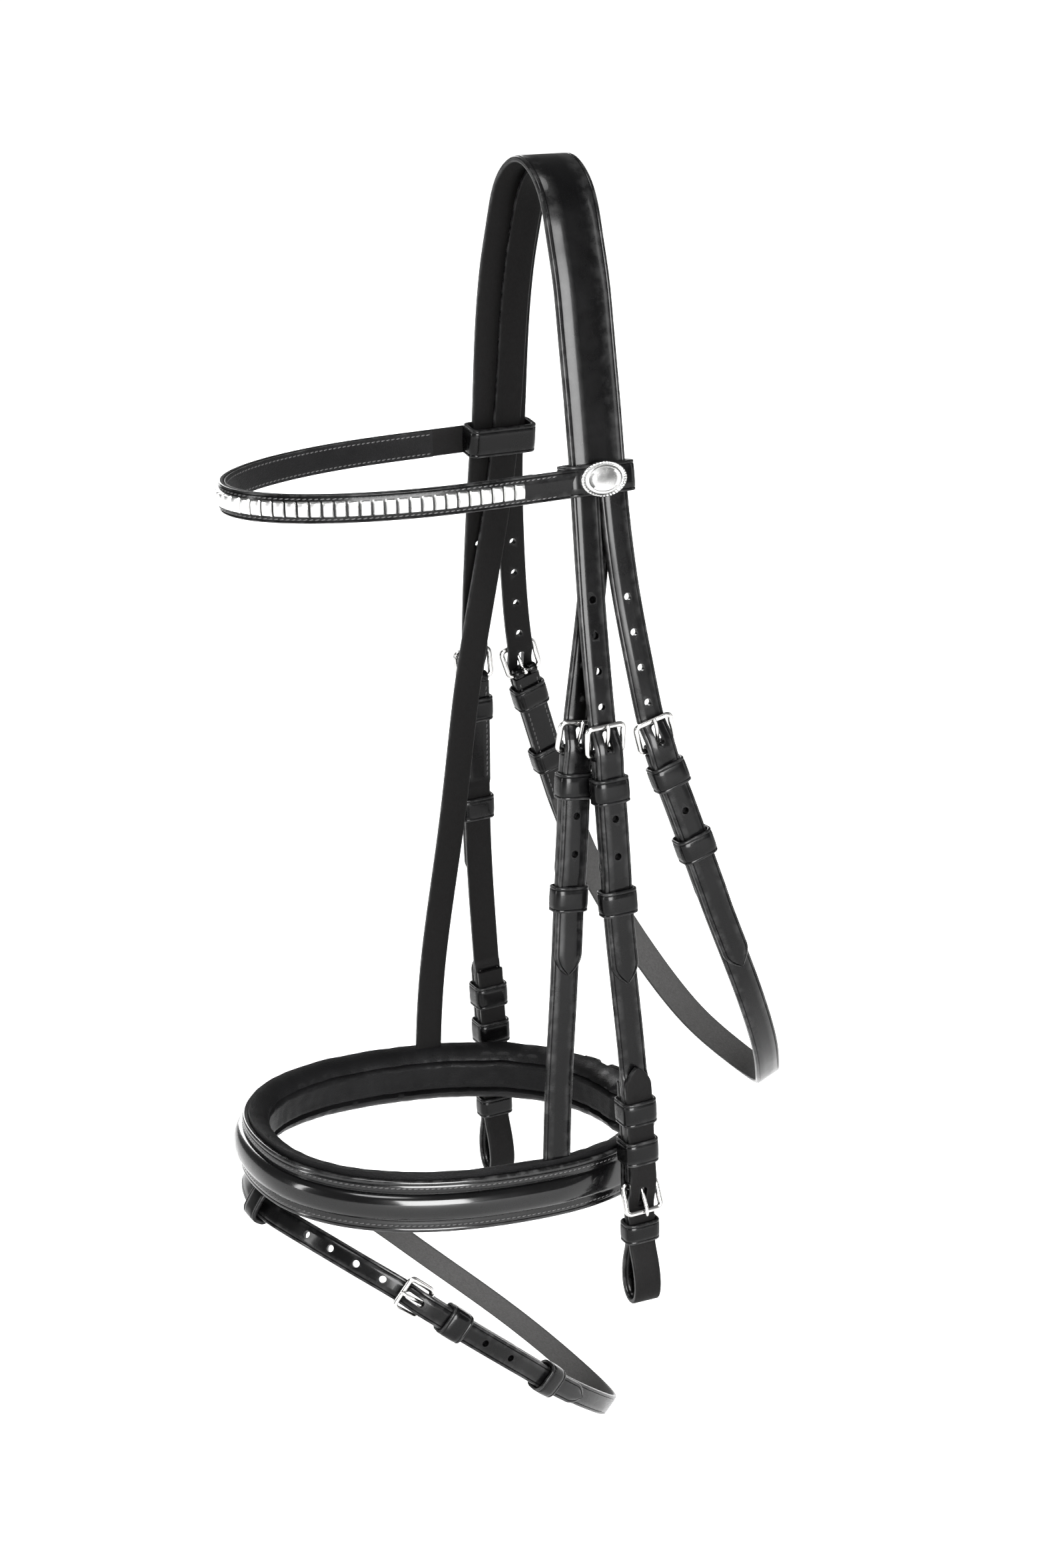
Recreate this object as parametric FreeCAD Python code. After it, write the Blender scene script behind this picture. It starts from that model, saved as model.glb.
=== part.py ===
"""Snaffle bridle headstall with a combined noseband, in millimetres.

The horse faces -Y, its near (left) side is +X and +Z is up. The origin is under the middle of the poll, where
the bridle hangs. Every strap follows a route: a smooth middle line with a direction across the strap.
Buckles, tongues, keepers and holes are placed by their distance along a route. What sits on the near side is
built once and mirrored for the off side.
"""

import FreeCAD, Part
import math
import os

V = FreeCAD.Vector
X_AXIS = V(1, 0, 0)
Z_AXIS = V(0, 0, 1)

# Leather
HEAD_WIDTH = 31.0
HEAD_THICK = 3.4
STRAP_WIDTH = 15.5
STRAP_THICK = 3.0
SLIP_THICK = 2.8
SLIT_GAP = 1.0
STATION_STEP = 9.0
TIP_LENGTH = 11.0
FLEX_GAP = 1.3

# Buckles: a frame of round bar, hinged tongue, leather eye round the hinge bar
BAR_R = 1.2
FRAME_R = 1.4
FRAME_CLEAR = 0.6
FRAME_REACH = 15.0
FRAME_RISE = 3.6
FRAME_CORNER = 2.6
EYE_R = 3.3
EYE_BACK = 1.9
TONGUE_R = 1.15
TONGUE_EYE_R = 2.5
TONGUE_WIDTH = 3.0
TONGUE_SLOT = 4.2
PIN_CLEAR = 0.05
TONGUE_OVERHANG = 1.9
OVAL_LENGTH = 11.0
OVAL_WIDTH = 4.0
OVAL_OFFSET = 7.0

# Keepers: leather sleeves that hold the billets down
KEEPER_WALL = 1.7
KEEPER_HEIGHT = 13.5
KEEPER_CLEAR = 0.45
RUNNER_CLEAR = 0.75
BIT_RUNNER_HEIGHT = 11.5
CHAPE_LENGTH = 62.0
PLY_THICK = 2.4
LAYER_GAP = 0.3

# Punched holes
HOLE_R = 1.9
HOLE_PITCH = 18.3

# Heights of what is on the straps, measured down from the poll
LOOP_Z = -148.5
SLIT_Z = -160.0
FLEX_Z = -192.0
BUCKLE_Z = -288.0
FIRST_KEEPER_Z = -306.5
SECOND_KEEPER_Z = -366.5
CHEEK_TIP_Z = -411.0
THROAT_KEEPER_Z = (-303.0, -342.5)
THROAT_CHAPE = 84.0
THROAT_TIP_Z = -413.5
BIT_BUCKLE_Z = -527.0
BIT_KEEPER_Z = (-484.0, -507.0)
BIT_RUNNER_Z = -555.0
BIT_FRAME_RISE = 5.6
BIT_TIP_Z = -458.5
BIT_TAB_Z = -468.0

# Browband
BROW_HEIGHT = 14.5
BROW_THICK = 2.8
BROW_LINING = 1.3
BROW_HALF_WIDTH = 62.5
BROW_STRAIGHT_Y = -60.0
BROW_FRONT = 116.0
BROW_DROOP = 0.03
BROW_INSET = 21.5
LOOP_CENTRE_Y = 1.7
LOOP_HEIGHT = 15.5
LOOP_WALL = 2.8
LOOP_CLEAR = 1.3
LINING_MARGIN = 42.0
CLINCHER_SIZE = (5.5, 8.0, 2.0)
CLINCHER_PITCH = 6.1
PLATE_RADII = (13.0, 9.0)
PLATE_THICK = 2.0

# Noseband
NOSE_HALF_WIDTH = 88.0
NOSE_HALF_DEPTH = 113.0
NOSE_CENTRE_Y = -57.0
NOSE_POWER = 2.3
NOSE_CENTRE_Z = -522.5
NOSE_TILT = -0.056
NOSE_HEIGHT = 29.0
NOSE_THICK = 3.0
NOSE_ROLL_WIDTH = 15.0
NOSE_ROLL_RISE = 4.0
PAD_HEIGHT = 33.0
PAD_THICK = 7.5
PAD_START = 7.0
JAW_WIDTH = 20.0
JAW_THICK = 2.6
JAW_INSIDE = 3.4
JAW_OUTSIDE = 6.3
JAW_BUCKLE_DEG = 187.0
JAW_CHAPE = 42.0
JAW_TIP = 54.0

# Flash strap
FLASH_WIDTH = 12.5
FLASH_THICK = 2.5
FLASH_LIFT_DEG = 15.0
FLASH_BUCKLE = 118.0
FLASH_TIP = 252.0
FLASH_HOLES = (44.0, 60.0, 76.0, 92.0, 158.0, 178.0)
FLASH_KEEPERS = (137.0, 216.0)
FLASH_LOOP_WALL = 2.2
FLASH_LOOP_WIDTH = 14.0


class Route:
    """A strap's middle line, with the direction across the strap."""

    def __init__(self, points, across):
        self.curve = Part.BSplineCurve()
        self.curve.interpolate([V(*p) for p in points])
        self.across = V(*across)
        self.length = self.curve.length()

    def at(self, distance):
        """Point, along, across and outward directions at a distance from the start."""
        clamped = min(max(distance, 0.0), self.length)
        u = self.curve.parameterAtDistance(clamped, self.curve.FirstParameter)
        point = self.curve.value(u)
        along = self.curve.tangent(u)[0]
        across = self.across - along * self.across.dot(along)
        across.normalize()
        point = point + along * (distance - clamped)
        return point, along, across, along.cross(across)

    def distance_at(self, value, axis="z"):
        """Distance from the start at which the falling (or rising) coordinate reaches a value."""
        low = 0.0
        high = self.length
        rising = getattr(self.at(high)[0], axis) > getattr(self.at(low)[0], axis)
        for _ in range(40):
            middle = (low + high) / 2
            below = getattr(self.at(middle)[0], axis) < value
            if below == rising:
                low = middle
            else:
                high = middle
        return (low + high) / 2


def ramp(distance, stops):
    """Smooth value at a distance, from a list of (distance, value) stops."""
    if distance <= stops[0][0]:
        return stops[0][1]
    for (d0, v0), (d1, v1) in zip(stops, stops[1:]):
        if distance <= d1:
            t = (distance - d0) / (d1 - d0)
            return v0 + (v1 - v0) * t * t * (3 - 2 * t)
    return stops[-1][1]


def stations(start, end, extra=()):
    """Distances at which a band gets a section."""
    count = max(2, math.ceil((end - start) / STATION_STEP))
    spots = [start + (end - start) * i / count for i in range(count + 1)]
    spots += [e for e in extra if start < e < end]
    spots.sort()
    kept = [spots[0]]
    for spot in spots[1:-1]:
        if spot - kept[-1] > 1.2 and spots[-1] - spot > 0.6:
            kept.append(spot)
    kept.append(spots[-1])
    return kept


def lifted_frame(route, distance, lift):
    """Section frame of a ply that runs at a varying height over its route."""
    point, along, across, outward = route.at(distance)
    step = 0.5
    slope = (lift(distance + step) - lift(distance - step)) / (2 * step)
    tilted = (outward - along * slope).normalize()
    return point + outward * lift(distance), across, tilted


def band(route, start, end, width, thick, lift=None, shift=0.0, extra=()):
    """Flat strap along a route. width and thick may be numbers or functions of distance."""
    height = lift or (lambda distance: 0.0)
    wide = width if callable(width) else (lambda distance: width)
    deep = thick if callable(thick) else (lambda distance: thick)
    wires = []
    for distance in stations(start, end, extra):
        centre, across, outward = lifted_frame(route, distance, height)
        centre = centre + across * shift
        half = wide(distance) / 2
        a = across * half
        n = outward * (deep(distance) / 2)
        corners = [centre - a - n, centre + a - n, centre + a + n, centre - a + n]
        wires.append(Part.makePolygon(corners + corners[:1]))
    return Part.makeLoft(wires, True, True)


def profile_band(route, start, end, profile, extra=()):
    """Band whose section is profile(distance): a list of (across, outward) points."""
    wires = []
    for distance in stations(start, end, extra):
        centre, _, across, outward = route.at(distance)
        corners = [centre + across * a + outward * n for a, n in profile(distance)]
        wires.append(Part.makePolygon(corners + corners[:1]))
    return Part.makeLoft(wires, True, True)


def tip_width(tip, width):
    """Width of a strap that ends in a rounded point at the distance tip."""

    def wide(distance):
        left = max(0.0, min(1.0, (tip - distance) / TIP_LENGTH))
        return max(2.0, width * math.sqrt(1 - (1 - left) ** 2.2))

    return wide


def tip_spots(tip):
    """Extra stations that round the point off."""
    return [tip - TIP_LENGTH * f for f in (1.0, 0.75, 0.5, 0.3, 0.15, 0.06)]


def place(shape, point, along, across, outward):
    """Moves a shape from its own axes (x across, y along, z outward) to a spot on a route."""
    matrix = FreeCAD.Matrix(
        across.x, along.x, outward.x, point.x,
        across.y, along.y, outward.y, point.y,
        across.z, along.z, outward.z, point.z,
        0, 0, 0, 1,
    )
    moved = shape.copy()
    moved.transformShape(matrix, True)
    return moved


def on_route(shape, route, distance, lift=0.0, reverse=False):
    """Places a shape on a route. The shape's y points back up the route unless reverse is set."""
    point, along, across, outward = route.at(distance)
    spot = point + outward * lift
    if reverse:
        return place(shape, spot, along, across * -1, outward)
    return place(shape, spot, along * -1, across, outward)


def rod(start, end, radius, end_radius=None):
    """Round bar between two points, tapered when the end radius differs."""
    axis = V(*end) - V(*start)
    if end_radius is None or abs(end_radius - radius) < 1e-6:
        return Part.makeCylinder(radius, axis.Length, V(*start), axis)
    return Part.makeCone(radius, end_radius, axis.Length, V(*start), axis)


def rounded_loop(corners, radius):
    """Closed wire through the corners, each rounded with an arc."""
    points = [V(*c) for c in corners]
    count = len(points)
    ends = []
    for i, corner in enumerate(points):
        before = (points[i - 1] - corner).normalize()
        after = (points[(i + 1) % count] - corner).normalize()
        half = before.getAngle(after) / 2
        back = radius / math.tan(half)
        bisector = (before + after).normalize()
        middle = corner + bisector * (radius / math.sin(half) - radius)
        ends.append((corner + before * back, middle, corner + after * back))
    edges = []
    for i, (first, middle, last) in enumerate(ends):
        edges.append(Part.Arc(first, middle, last).toShape())
        edges.append(Part.LineSegment(last, ends[(i + 1) % count][0]).toShape())
    return Part.Wire(edges)


def buckle_frame(strap_width, rise=FRAME_RISE):
    """Frame in its own axes: hinge bar on the x axis, far bar towards +y and proud in +z."""
    inside = strap_width / 2 + FRAME_CLEAR
    hinge = inside + FRAME_R
    far = inside + FRAME_R + 0.5
    corners = [(-hinge, 0, 0), (hinge, 0, 0), (far, FRAME_REACH, rise), (-far, FRAME_REACH, rise)]
    path = rounded_loop(corners, FRAME_CORNER)
    start = path.Edges[1]
    centre = start.valueAt(start.FirstParameter)
    tangent = start.tangentAt(start.FirstParameter)
    section = Part.Wire(Part.Circle(centre, tangent, FRAME_R).toShape())
    rim = path.makePipeShell([section], True, False)
    reach = hinge - FRAME_CORNER
    thick_part = rod((-reach, 0, 0), (reach, 0, 0), FRAME_R + 0.4)
    bar = rod((-reach, 0, 0), (reach, 0, 0), BAR_R)
    return rim.cut(thick_part).fuse(bar).removeSplitter()


def buckle_tongue(rise=FRAME_RISE):
    """Tongue in the same axes: an eye round the hinge bar and a shaft resting on the far bar."""
    eye = Part.makeCylinder(TONGUE_EYE_R, TONGUE_WIDTH, V(-TONGUE_WIDTH / 2, 0, 0), X_AXIS)
    bore = Part.makeCylinder(BAR_R + PIN_CLEAR, TONGUE_WIDTH + 2, V(-TONGUE_WIDTH / 2 - 1, 0, 0), X_AXIS)
    rest = rise + FRAME_R + TONGUE_R + 0.35
    bend = (0, FRAME_REACH * 0.62, rest * 0.8)
    over = (0, FRAME_REACH + TONGUE_OVERHANG, rest + 0.3)
    shaft = rod((0, TONGUE_EYE_R * 0.62, TONGUE_EYE_R * 0.62), bend, TONGUE_R)
    tip = rod(bend, over, TONGUE_R, TONGUE_R * 0.8)
    knuckle = Part.makeSphere(TONGUE_R, V(*bend))
    return eye.fuse([shaft, tip, knuckle]).cut(bore).removeSplitter()


def strap_eye(strap_width):
    """Leather folded round the hinge bar, with the slot that the tongue turns in."""
    half = strap_width / 2 - 0.9
    roll = Part.makeCylinder(EYE_R, 2 * half, V(-half, 0, 0), X_AXIS)
    bore = Part.makeCylinder(BAR_R + PIN_CLEAR, 2 * half + 2, V(-half - 1, 0, 0), X_AXIS)
    slot = Part.makeBox(TONGUE_SLOT, 4 * EYE_R, 4 * EYE_R, V(-TONGUE_SLOT / 2, -EYE_R - 0.6, -2 * EYE_R))
    return roll.cut(bore), slot


def keeper(width, low, high, wall=KEEPER_WALL, height=KEEPER_HEIGHT, clear=KEEPER_CLEAR):
    """Sleeve round a stack of straps that reaches from low to high above the route."""
    inner_w = width + 2 * clear
    inner_h = high - low + 2 * clear
    inner = Part.makeBox(inner_w, height + 2, inner_h, V(-inner_w / 2, -height / 2 - 1, low - clear))
    outer_w = inner_w + 2 * wall
    corner = V(-outer_w / 2, -height / 2, low - clear - wall)
    outer = Part.makeBox(outer_w, height, inner_h + 2 * wall, corner)
    edges = [e for e in outer.Edges if abs(e.tangentAt(e.FirstParameter).y) > 0.9]
    return outer.makeFillet(wall * 0.8, edges).cut(inner)


def punch(route, distance, lift=0.0, radius=HOLE_R):
    """Round hole cutter through a strap."""
    point, _, _, outward = route.at(distance)
    return Part.makeCylinder(radius, 16, point + outward * (lift - 8), outward)


def oval_cutter(length, width):
    """Oval hole cutter along y, through z."""
    straight = length / 2 - width / 2
    box = Part.makeBox(width, 2 * straight, 16, V(-width / 2, -straight, -8))
    ends = [Part.makeCylinder(width / 2, 16, V(0, s * straight, -8), Z_AXIS) for s in (-1, 1)]
    return box.fuse(ends)


def mirrored(shape):
    return shape.mirror(V(0, 0, 0), X_AXIS)


def both_sides(points):
    """Near-side points from the middle outwards, joined to their mirror image: off end to near end."""
    off = [(-x, y, z) for x, y, z in reversed(points[1:])]
    return off + points


PARTS = {}


def add(name, *shapes):
    """Keeps a node: one solid, or a group of separate solids."""
    solids = []
    for shape in shapes:
        solids += shape.Solids
    PARTS[name] = solids[0] if len(solids) == 1 else Part.makeCompound(solids)


def add_pair(name, *shapes):
    """Keeps a near-side node and its mirror image on the off side."""
    add("near_" + name, *shapes)
    add("off_" + name, *[mirrored(shape) for shape in shapes])


# Routes, near side, from the poll or the slit downwards
LEG = [(0, 0, 4.8), (14, 0, 0.6), (25.3, 0, -9.5), (34.5, 0, -30), (41.5, 0, -50), (47.5, 0, -76),
       (53.2, 0.8, -110),
       (57.3, 1.6, -140), (62.8, 2.2, -175), (65.6, 2.6, -193)]
CHEEK = [(57.3, -6.3, -140), (62.8, -6.5, -175), (68, -6.2, -212), (73.5, -5.2, -250), (78, -3.2, -288),
         (81, -1.2, -322), (84.5, 0.8, -367), (88, 4.2, -412), (90.5, 8.6, -460), (91, 12, -510),
         (90.8, 14.2, -560),
         (90.5, 16.4, -600)]
THROAT = [(57.3, 9.5, -140), (62.8, 11, -178), (67.2, 14.2, -210), (73.6, 19.8, -250), (78, 27.5, -288),
          (81.5, 37, -316), (84.5, 49, -350), (86.3, 60, -380), (85, 77, -420), (75.5, 93, -452),
          (60, 108.5, -481),
          (40, 122, -503), (19, 133.5, -516), (0, 137.5, -520)]
SLIP = [(0, 4.5, 1.4), (12, 4.5, -2.5), (21.7, 4.5, -11.9), (31, 4.5, -31), (37.8, 4.5, -51),
        (43.8, 4.5, -77),
        (49.6, 5, -111), (53.6, 4.6, -141), (57, 2, -176), (60, -2.6, -212), (62.5, -8.5, -250),
        (65, -14, -288),
        (68, -17, -322), (71.5, -21, -367), (76.5, -25.4, -412), (80.6, -30, -460), (82.2, -32, -500),
        (82.2, -32.4, -530)]

leg_half = Route(LEG, (0, 1, 0))
leg_route = Route(both_sides(LEG), (0, 1, 0))
cheek_route = Route(CHEEK, (0, 1, 0))
throat_half = Route(THROAT, (0, 0.91, 0.41))
slip_half = Route(SLIP, (0, 1, 0))
slip_route = Route(both_sides(SLIP), (0, 1, 0))
throat_points = THROAT + [(-x, y, z) for x, y, z in reversed(THROAT[:-1])]
throat_route = Route(throat_points, (0, 0.91, 0.41))


def brow_point(angle):
    """Point of the browband's rounded front, from -90 (off) to 90 degrees (near)."""
    x = BROW_HALF_WIDTH * math.sin(angle)
    y = BROW_STRAIGHT_Y - BROW_FRONT * math.cos(angle)
    return x, y, LOOP_Z + BROW_DROOP * y


def nose_point(angle):
    """Point of the noseband's ring: 0 is the front, 90 degrees the near side."""
    x = math.copysign(abs(math.sin(angle)) ** (2 / NOSE_POWER), math.sin(angle)) * NOSE_HALF_WIDTH
    y = -math.copysign(abs(math.cos(angle)) ** (2 / NOSE_POWER), math.cos(angle)) * NOSE_HALF_DEPTH
    return x, y + NOSE_CENTRE_Y, NOSE_CENTRE_Z + NOSE_TILT * y


def arc_points(function, start_deg, end_deg, count):
    """Points of a formula at evenly spaced angles."""
    step = (end_deg - start_deg) / (count - 1)
    return [function(math.radians(start_deg + step * i)) for i in range(count)]


brow_side = [(BROW_HALF_WIDTH + 0.1, y, LOOP_Z + BROW_DROOP * y) for y in (6.0, -16.0, -38.0)]
brow_points = [(-x, y, z) for x, y, z in brow_side] + arc_points(brow_point, -90, 90, 13) + brow_side[::-1]
brow_route = Route(brow_points, (0, 0, 1))
nose_route = Route(arc_points(nose_point, -186, 160, 43), (0, -NOSE_TILT, 1))

# Flash strap, near side, from its front loop back and down to the bend under the chin
FLASH = [(0, -168.5, -541), (30, -163.5, -541), (52, -154, -544.5), (69, -141, -552), (82, -124, -563.5),
         (90, -105.5, -578), (92.5, -84, -596), (90, -62, -615), (83.5, -40, -635), (72, -15, -657),
         (54, 10, -679),
         (29, 29, -697), (0, 36, -704)]
FLASH_ACROSS = (0, 0.634, 0.773)
flash_points = FLASH + [(-x, y, z) for x, y, z in FLASH[-2::-1]]
flash_route = Route([(-30, -163.5, -541)] + flash_points + [(30, -163.5, -541)], FLASH_ACROSS)


def billet_lift(buckle, tip, doubled=CHAPE_LENGTH):
    """Height of a billet over its route: under the far bar, over the hinge bar, then on the chape."""
    over_eye = EYE_R + LAYER_GAP + STRAP_THICK / 2
    on_chape = PLY_THICK + LAYER_GAP + STRAP_THICK / 2
    on_strap = STRAP_THICK / 2 + LAYER_GAP + STRAP_THICK / 2
    stops = [(buckle - FRAME_REACH - 1.8, 0.0), (buckle - 1.5, over_eye), (buckle + 1.5, over_eye),
             (buckle + 11, on_chape), (buckle + doubled, on_chape), (buckle + doubled + 16, on_strap),
             (tip + 20, on_strap)]
    return lambda distance: ramp(distance, stops)


def billet(route, start, tip, buckle, holes, width=STRAP_WIDTH, thick=STRAP_THICK, doubled=CHAPE_LENGTH):
    """Billet from a start distance to its point, with an oval hole for the tongue and punched holes."""
    lift = billet_lift(buckle, tip, doubled)
    spots = tip_spots(tip) + [buckle - 14, buckle - 8, buckle - 4, buckle, buckle + 4, buckle + 8]
    strap = band(route, start, tip, tip_width(tip, width), thick, lift, extra=spots)
    oval = buckle - OVAL_OFFSET
    cutters = [on_route(oval_cutter(OVAL_LENGTH, OVAL_WIDTH), route, oval, lift(oval))]
    cutters += [punch(route, hole, lift(hole)) for hole in holes]
    return strap.cut(cutters)


def doubled_thick(near, far, single):
    """Thickness of a strap that is two plies up to the distance near and from the distance far."""
    stops = [(near, 2 * PLY_THICK), (near + 3, single), (far - 3, single), (far, 2 * PLY_THICK)]
    return lambda distance: ramp(distance, stops), [spot for spot, _ in stops]


def bar_eye(route, buckle, width, reverse=False):
    """Leather eye round a hinge bar, and the cutters for its bar and tongue slot."""
    roll, slot = strap_eye(width)
    bar = rod((-width, 0, 0), (width, 0, 0), BAR_R + PIN_CLEAR)
    return [on_route(shape, route, buckle, reverse=reverse) for shape in (roll, bar, slot)]


def chape(route, buckle, end, width=STRAP_WIDTH, doubled=CHAPE_LENGTH, single=STRAP_THICK, far_buckle=None):
    """Strap that starts doubled round a hinge bar and runs to a distance, or to a second bar."""
    far = end + 9.0
    if far_buckle:
        far = far_buckle - doubled
        end = far_buckle - EYE_BACK
    thick, spots = doubled_thick(buckle + doubled, far, single)
    body = band(route, buckle + EYE_BACK, end, width, thick, extra=spots)
    eyes = [bar_eye(route, buckle, width)]
    if far_buckle:
        eyes.append(bar_eye(route, far_buckle, width, True))
    cutters = [cutter for eye in eyes for cutter in eye[1:]]
    return body.fuse([eye[0] for eye in eyes]).cut(cutters).removeSplitter()


def buckle_parts(route, distance, width=STRAP_WIDTH, reverse=False, rise=FRAME_RISE):
    """Frame and tongue of a buckle whose hinge bar is at a distance."""
    frame = on_route(buckle_frame(width, rise), route, distance, reverse=reverse)
    tongue = on_route(buckle_tongue(rise), route, distance, reverse=reverse)
    return frame, tongue


def make_headpiece():
    """Crown over the poll, slit on each side into a cheek half and a throatlash half."""
    middle = leg_route.length / 2
    reach = leg_half.distance_at(SLIT_Z)
    pieces = [band(leg_route, middle - reach, middle + reach, HEAD_WIDTH, HEAD_THICK)]
    for route in (cheek_route, throat_half):
        top = route.distance_at(SLIT_Z + 3)
        bottom = route.distance_at(FLEX_Z) - FLEX_GAP / 2
        half = band(route, top, bottom, STRAP_WIDTH - SLIT_GAP / 2, HEAD_THICK)
        pieces += [half, mirrored(half)]
    add("headpiece", pieces[0].fuse(pieces[1:]).removeSplitter())


def make_sliphead():
    """Second strap under the crown that carries the noseband."""
    top = slip_route.length / 2
    reach = slip_half.distance_at(FLEX_Z) - FLEX_GAP / 2
    add("sliphead", band(slip_route, top - reach, top + reach, STRAP_WIDTH, SLIP_THICK))


def hole_row(route, zs):
    return [route.distance_at(z) for z in zs]


def make_cheekpieces():
    """Billet, cheek strap, buckles, tongues and keepers of both cheekpieces."""
    flex = cheek_route.distance_at(FLEX_Z) + FLEX_GAP / 2
    buckle = cheek_route.distance_at(BUCKLE_Z)
    tip = cheek_route.distance_at(CHEEK_TIP_Z)
    holes = hole_row(cheek_route, [-208.5 - HOLE_PITCH * i for i in range(4)] + [-321.5, -341.5])
    add_pair("cheek_billet", billet(cheek_route, flex, tip, buckle, holes))
    frame, tongue = buckle_parts(cheek_route, buckle)
    add_pair("cheek_buckle", frame)
    add_pair("cheek_tongue", tongue)
    lift = billet_lift(buckle, tip)
    low = -PLY_THICK
    first = cheek_route.distance_at(FIRST_KEEPER_Z)
    second = cheek_route.distance_at(SECOND_KEEPER_Z)
    fixed = keeper(STRAP_WIDTH, low, lift(first) + STRAP_THICK / 2)
    runner = keeper(STRAP_WIDTH, -STRAP_THICK / 2, lift(second) + STRAP_THICK / 2, clear=RUNNER_CLEAR)
    add_pair("cheek_keeper", on_route(fixed, cheek_route, first))
    add_pair("cheek_runner", on_route(runner, cheek_route, second))
    bit_buckle = cheek_route.distance_at(BIT_BUCKLE_Z)
    add_pair("cheek_strap", chape(cheek_route, buckle, bit_buckle, far_buckle=bit_buckle))


def bit_route():
    """Middle line of the bit billet: inner tab, round the bit, up the outside to its point."""
    inner = -(PLY_THICK + LAYER_GAP + STRAP_THICK / 2)
    outer = -inner
    over_eye = EYE_R + LAYER_GAP + STRAP_THICK / 2
    spots = [(inner, BIT_TAB_Z), (inner, -484), (inner, -500), (inner - 0.4, -513), (-over_eye, -524),
             (-over_eye, -531), (-3.0, -541), (-2.0, -549), (-2.0, -563), (-4.6, -571), (-6.9, -581),
             (-6.6, -590), (-3.4, -596), (0, -597.2), (3.4, -596), (6.6, -590), (6.9, -581),
             (4.6, -571), (2.0, -563),
             (2.0, -551), (1.4, -543.5), (3.2, -536), (over_eye, -528.5), (over_eye, -522),
             (outer + 0.2, -511),
             (outer, -500), (outer, -484), (outer, BIT_TIP_Z)]
    points = []
    for n, z in spots:
        point, _, _, outward = cheek_route.at(cheek_route.distance_at(z))
        points.append(tuple(point + outward * n))
    return Route(points, (0, 1, 0))


def make_bit_fittings():
    """Bit billets, the lower buckles that point down, their tongues, keepers and runners."""
    route = bit_route()
    tip = route.length
    strap = band(route, 0, tip, tip_width(tip, STRAP_WIDTH), STRAP_THICK - 0.2, extra=tip_spots(tip)
                 + list(range(40, 180, 4)))
    buckle = cheek_route.distance_at(BIT_BUCKLE_Z)
    frame, tongue = buckle_parts(cheek_route, buckle, reverse=True, rise=BIT_FRAME_RISE)
    hole = on_route(oval_cutter(OVAL_LENGTH + 2, OVAL_WIDTH), cheek_route, buckle + OVAL_OFFSET, 8.2)
    add_pair("bit_billet", strap.cut(hole))
    add_pair("bit_buckle", frame)
    add_pair("bit_tongue", tongue)
    stack = PLY_THICK + LAYER_GAP + STRAP_THICK
    sleeve = keeper(STRAP_WIDTH, -stack, stack)
    sleeves = [on_route(sleeve, cheek_route, cheek_route.distance_at(z)) for z in BIT_KEEPER_Z]
    add_pair("bit_keepers", *sleeves)
    runner = keeper(STRAP_WIDTH, -3.6, 3.6, height=BIT_RUNNER_HEIGHT, clear=RUNNER_CLEAR)
    add_pair("bit_runner", on_route(runner, cheek_route, cheek_route.distance_at(BIT_RUNNER_Z)))


def make_throatlash():
    """Throatlash with a buckle at each end."""
    route = throat_half
    flex = route.distance_at(FLEX_Z) + FLEX_GAP / 2
    buckle = route.distance_at(BUCKLE_Z)
    tip = route.distance_at(THROAT_TIP_Z)
    holes = hole_row(route, [-209.3 - HOLE_PITCH * i for i in range(4)] + [-322.5])
    add_pair("throat_billet", billet(route, flex, tip, buckle, holes, doubled=THROAT_CHAPE))
    frame, tongue = buckle_parts(route, buckle)
    add_pair("throat_buckle", frame)
    add_pair("throat_tongue", tongue)
    lift = billet_lift(buckle, tip, THROAT_CHAPE)
    first, second = [route.distance_at(z) for z in THROAT_KEEPER_Z]
    fixed = keeper(STRAP_WIDTH, -PLY_THICK, lift(first) + STRAP_THICK / 2)
    runner = keeper(STRAP_WIDTH, -PLY_THICK, lift(second) + STRAP_THICK / 2, clear=RUNNER_CLEAR)
    add_pair("throat_keeper", on_route(fixed, route, first))
    add_pair("throat_runner", on_route(runner, route, second))
    end = throat_route.length - buckle
    thick, spots = doubled_thick(buckle + THROAT_CHAPE, end - THROAT_CHAPE, STRAP_THICK)
    strap = band(throat_route, buckle + EYE_BACK, end - EYE_BACK, STRAP_WIDTH, thick, extra=spots)
    roll, bar, slot = bar_eye(route, buckle, STRAP_WIDTH)
    strap = strap.fuse([roll, mirrored(roll)]).cut([bar, slot, mirrored(bar), mirrored(slot)])
    add("throatlash", strap.removeSplitter())


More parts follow.
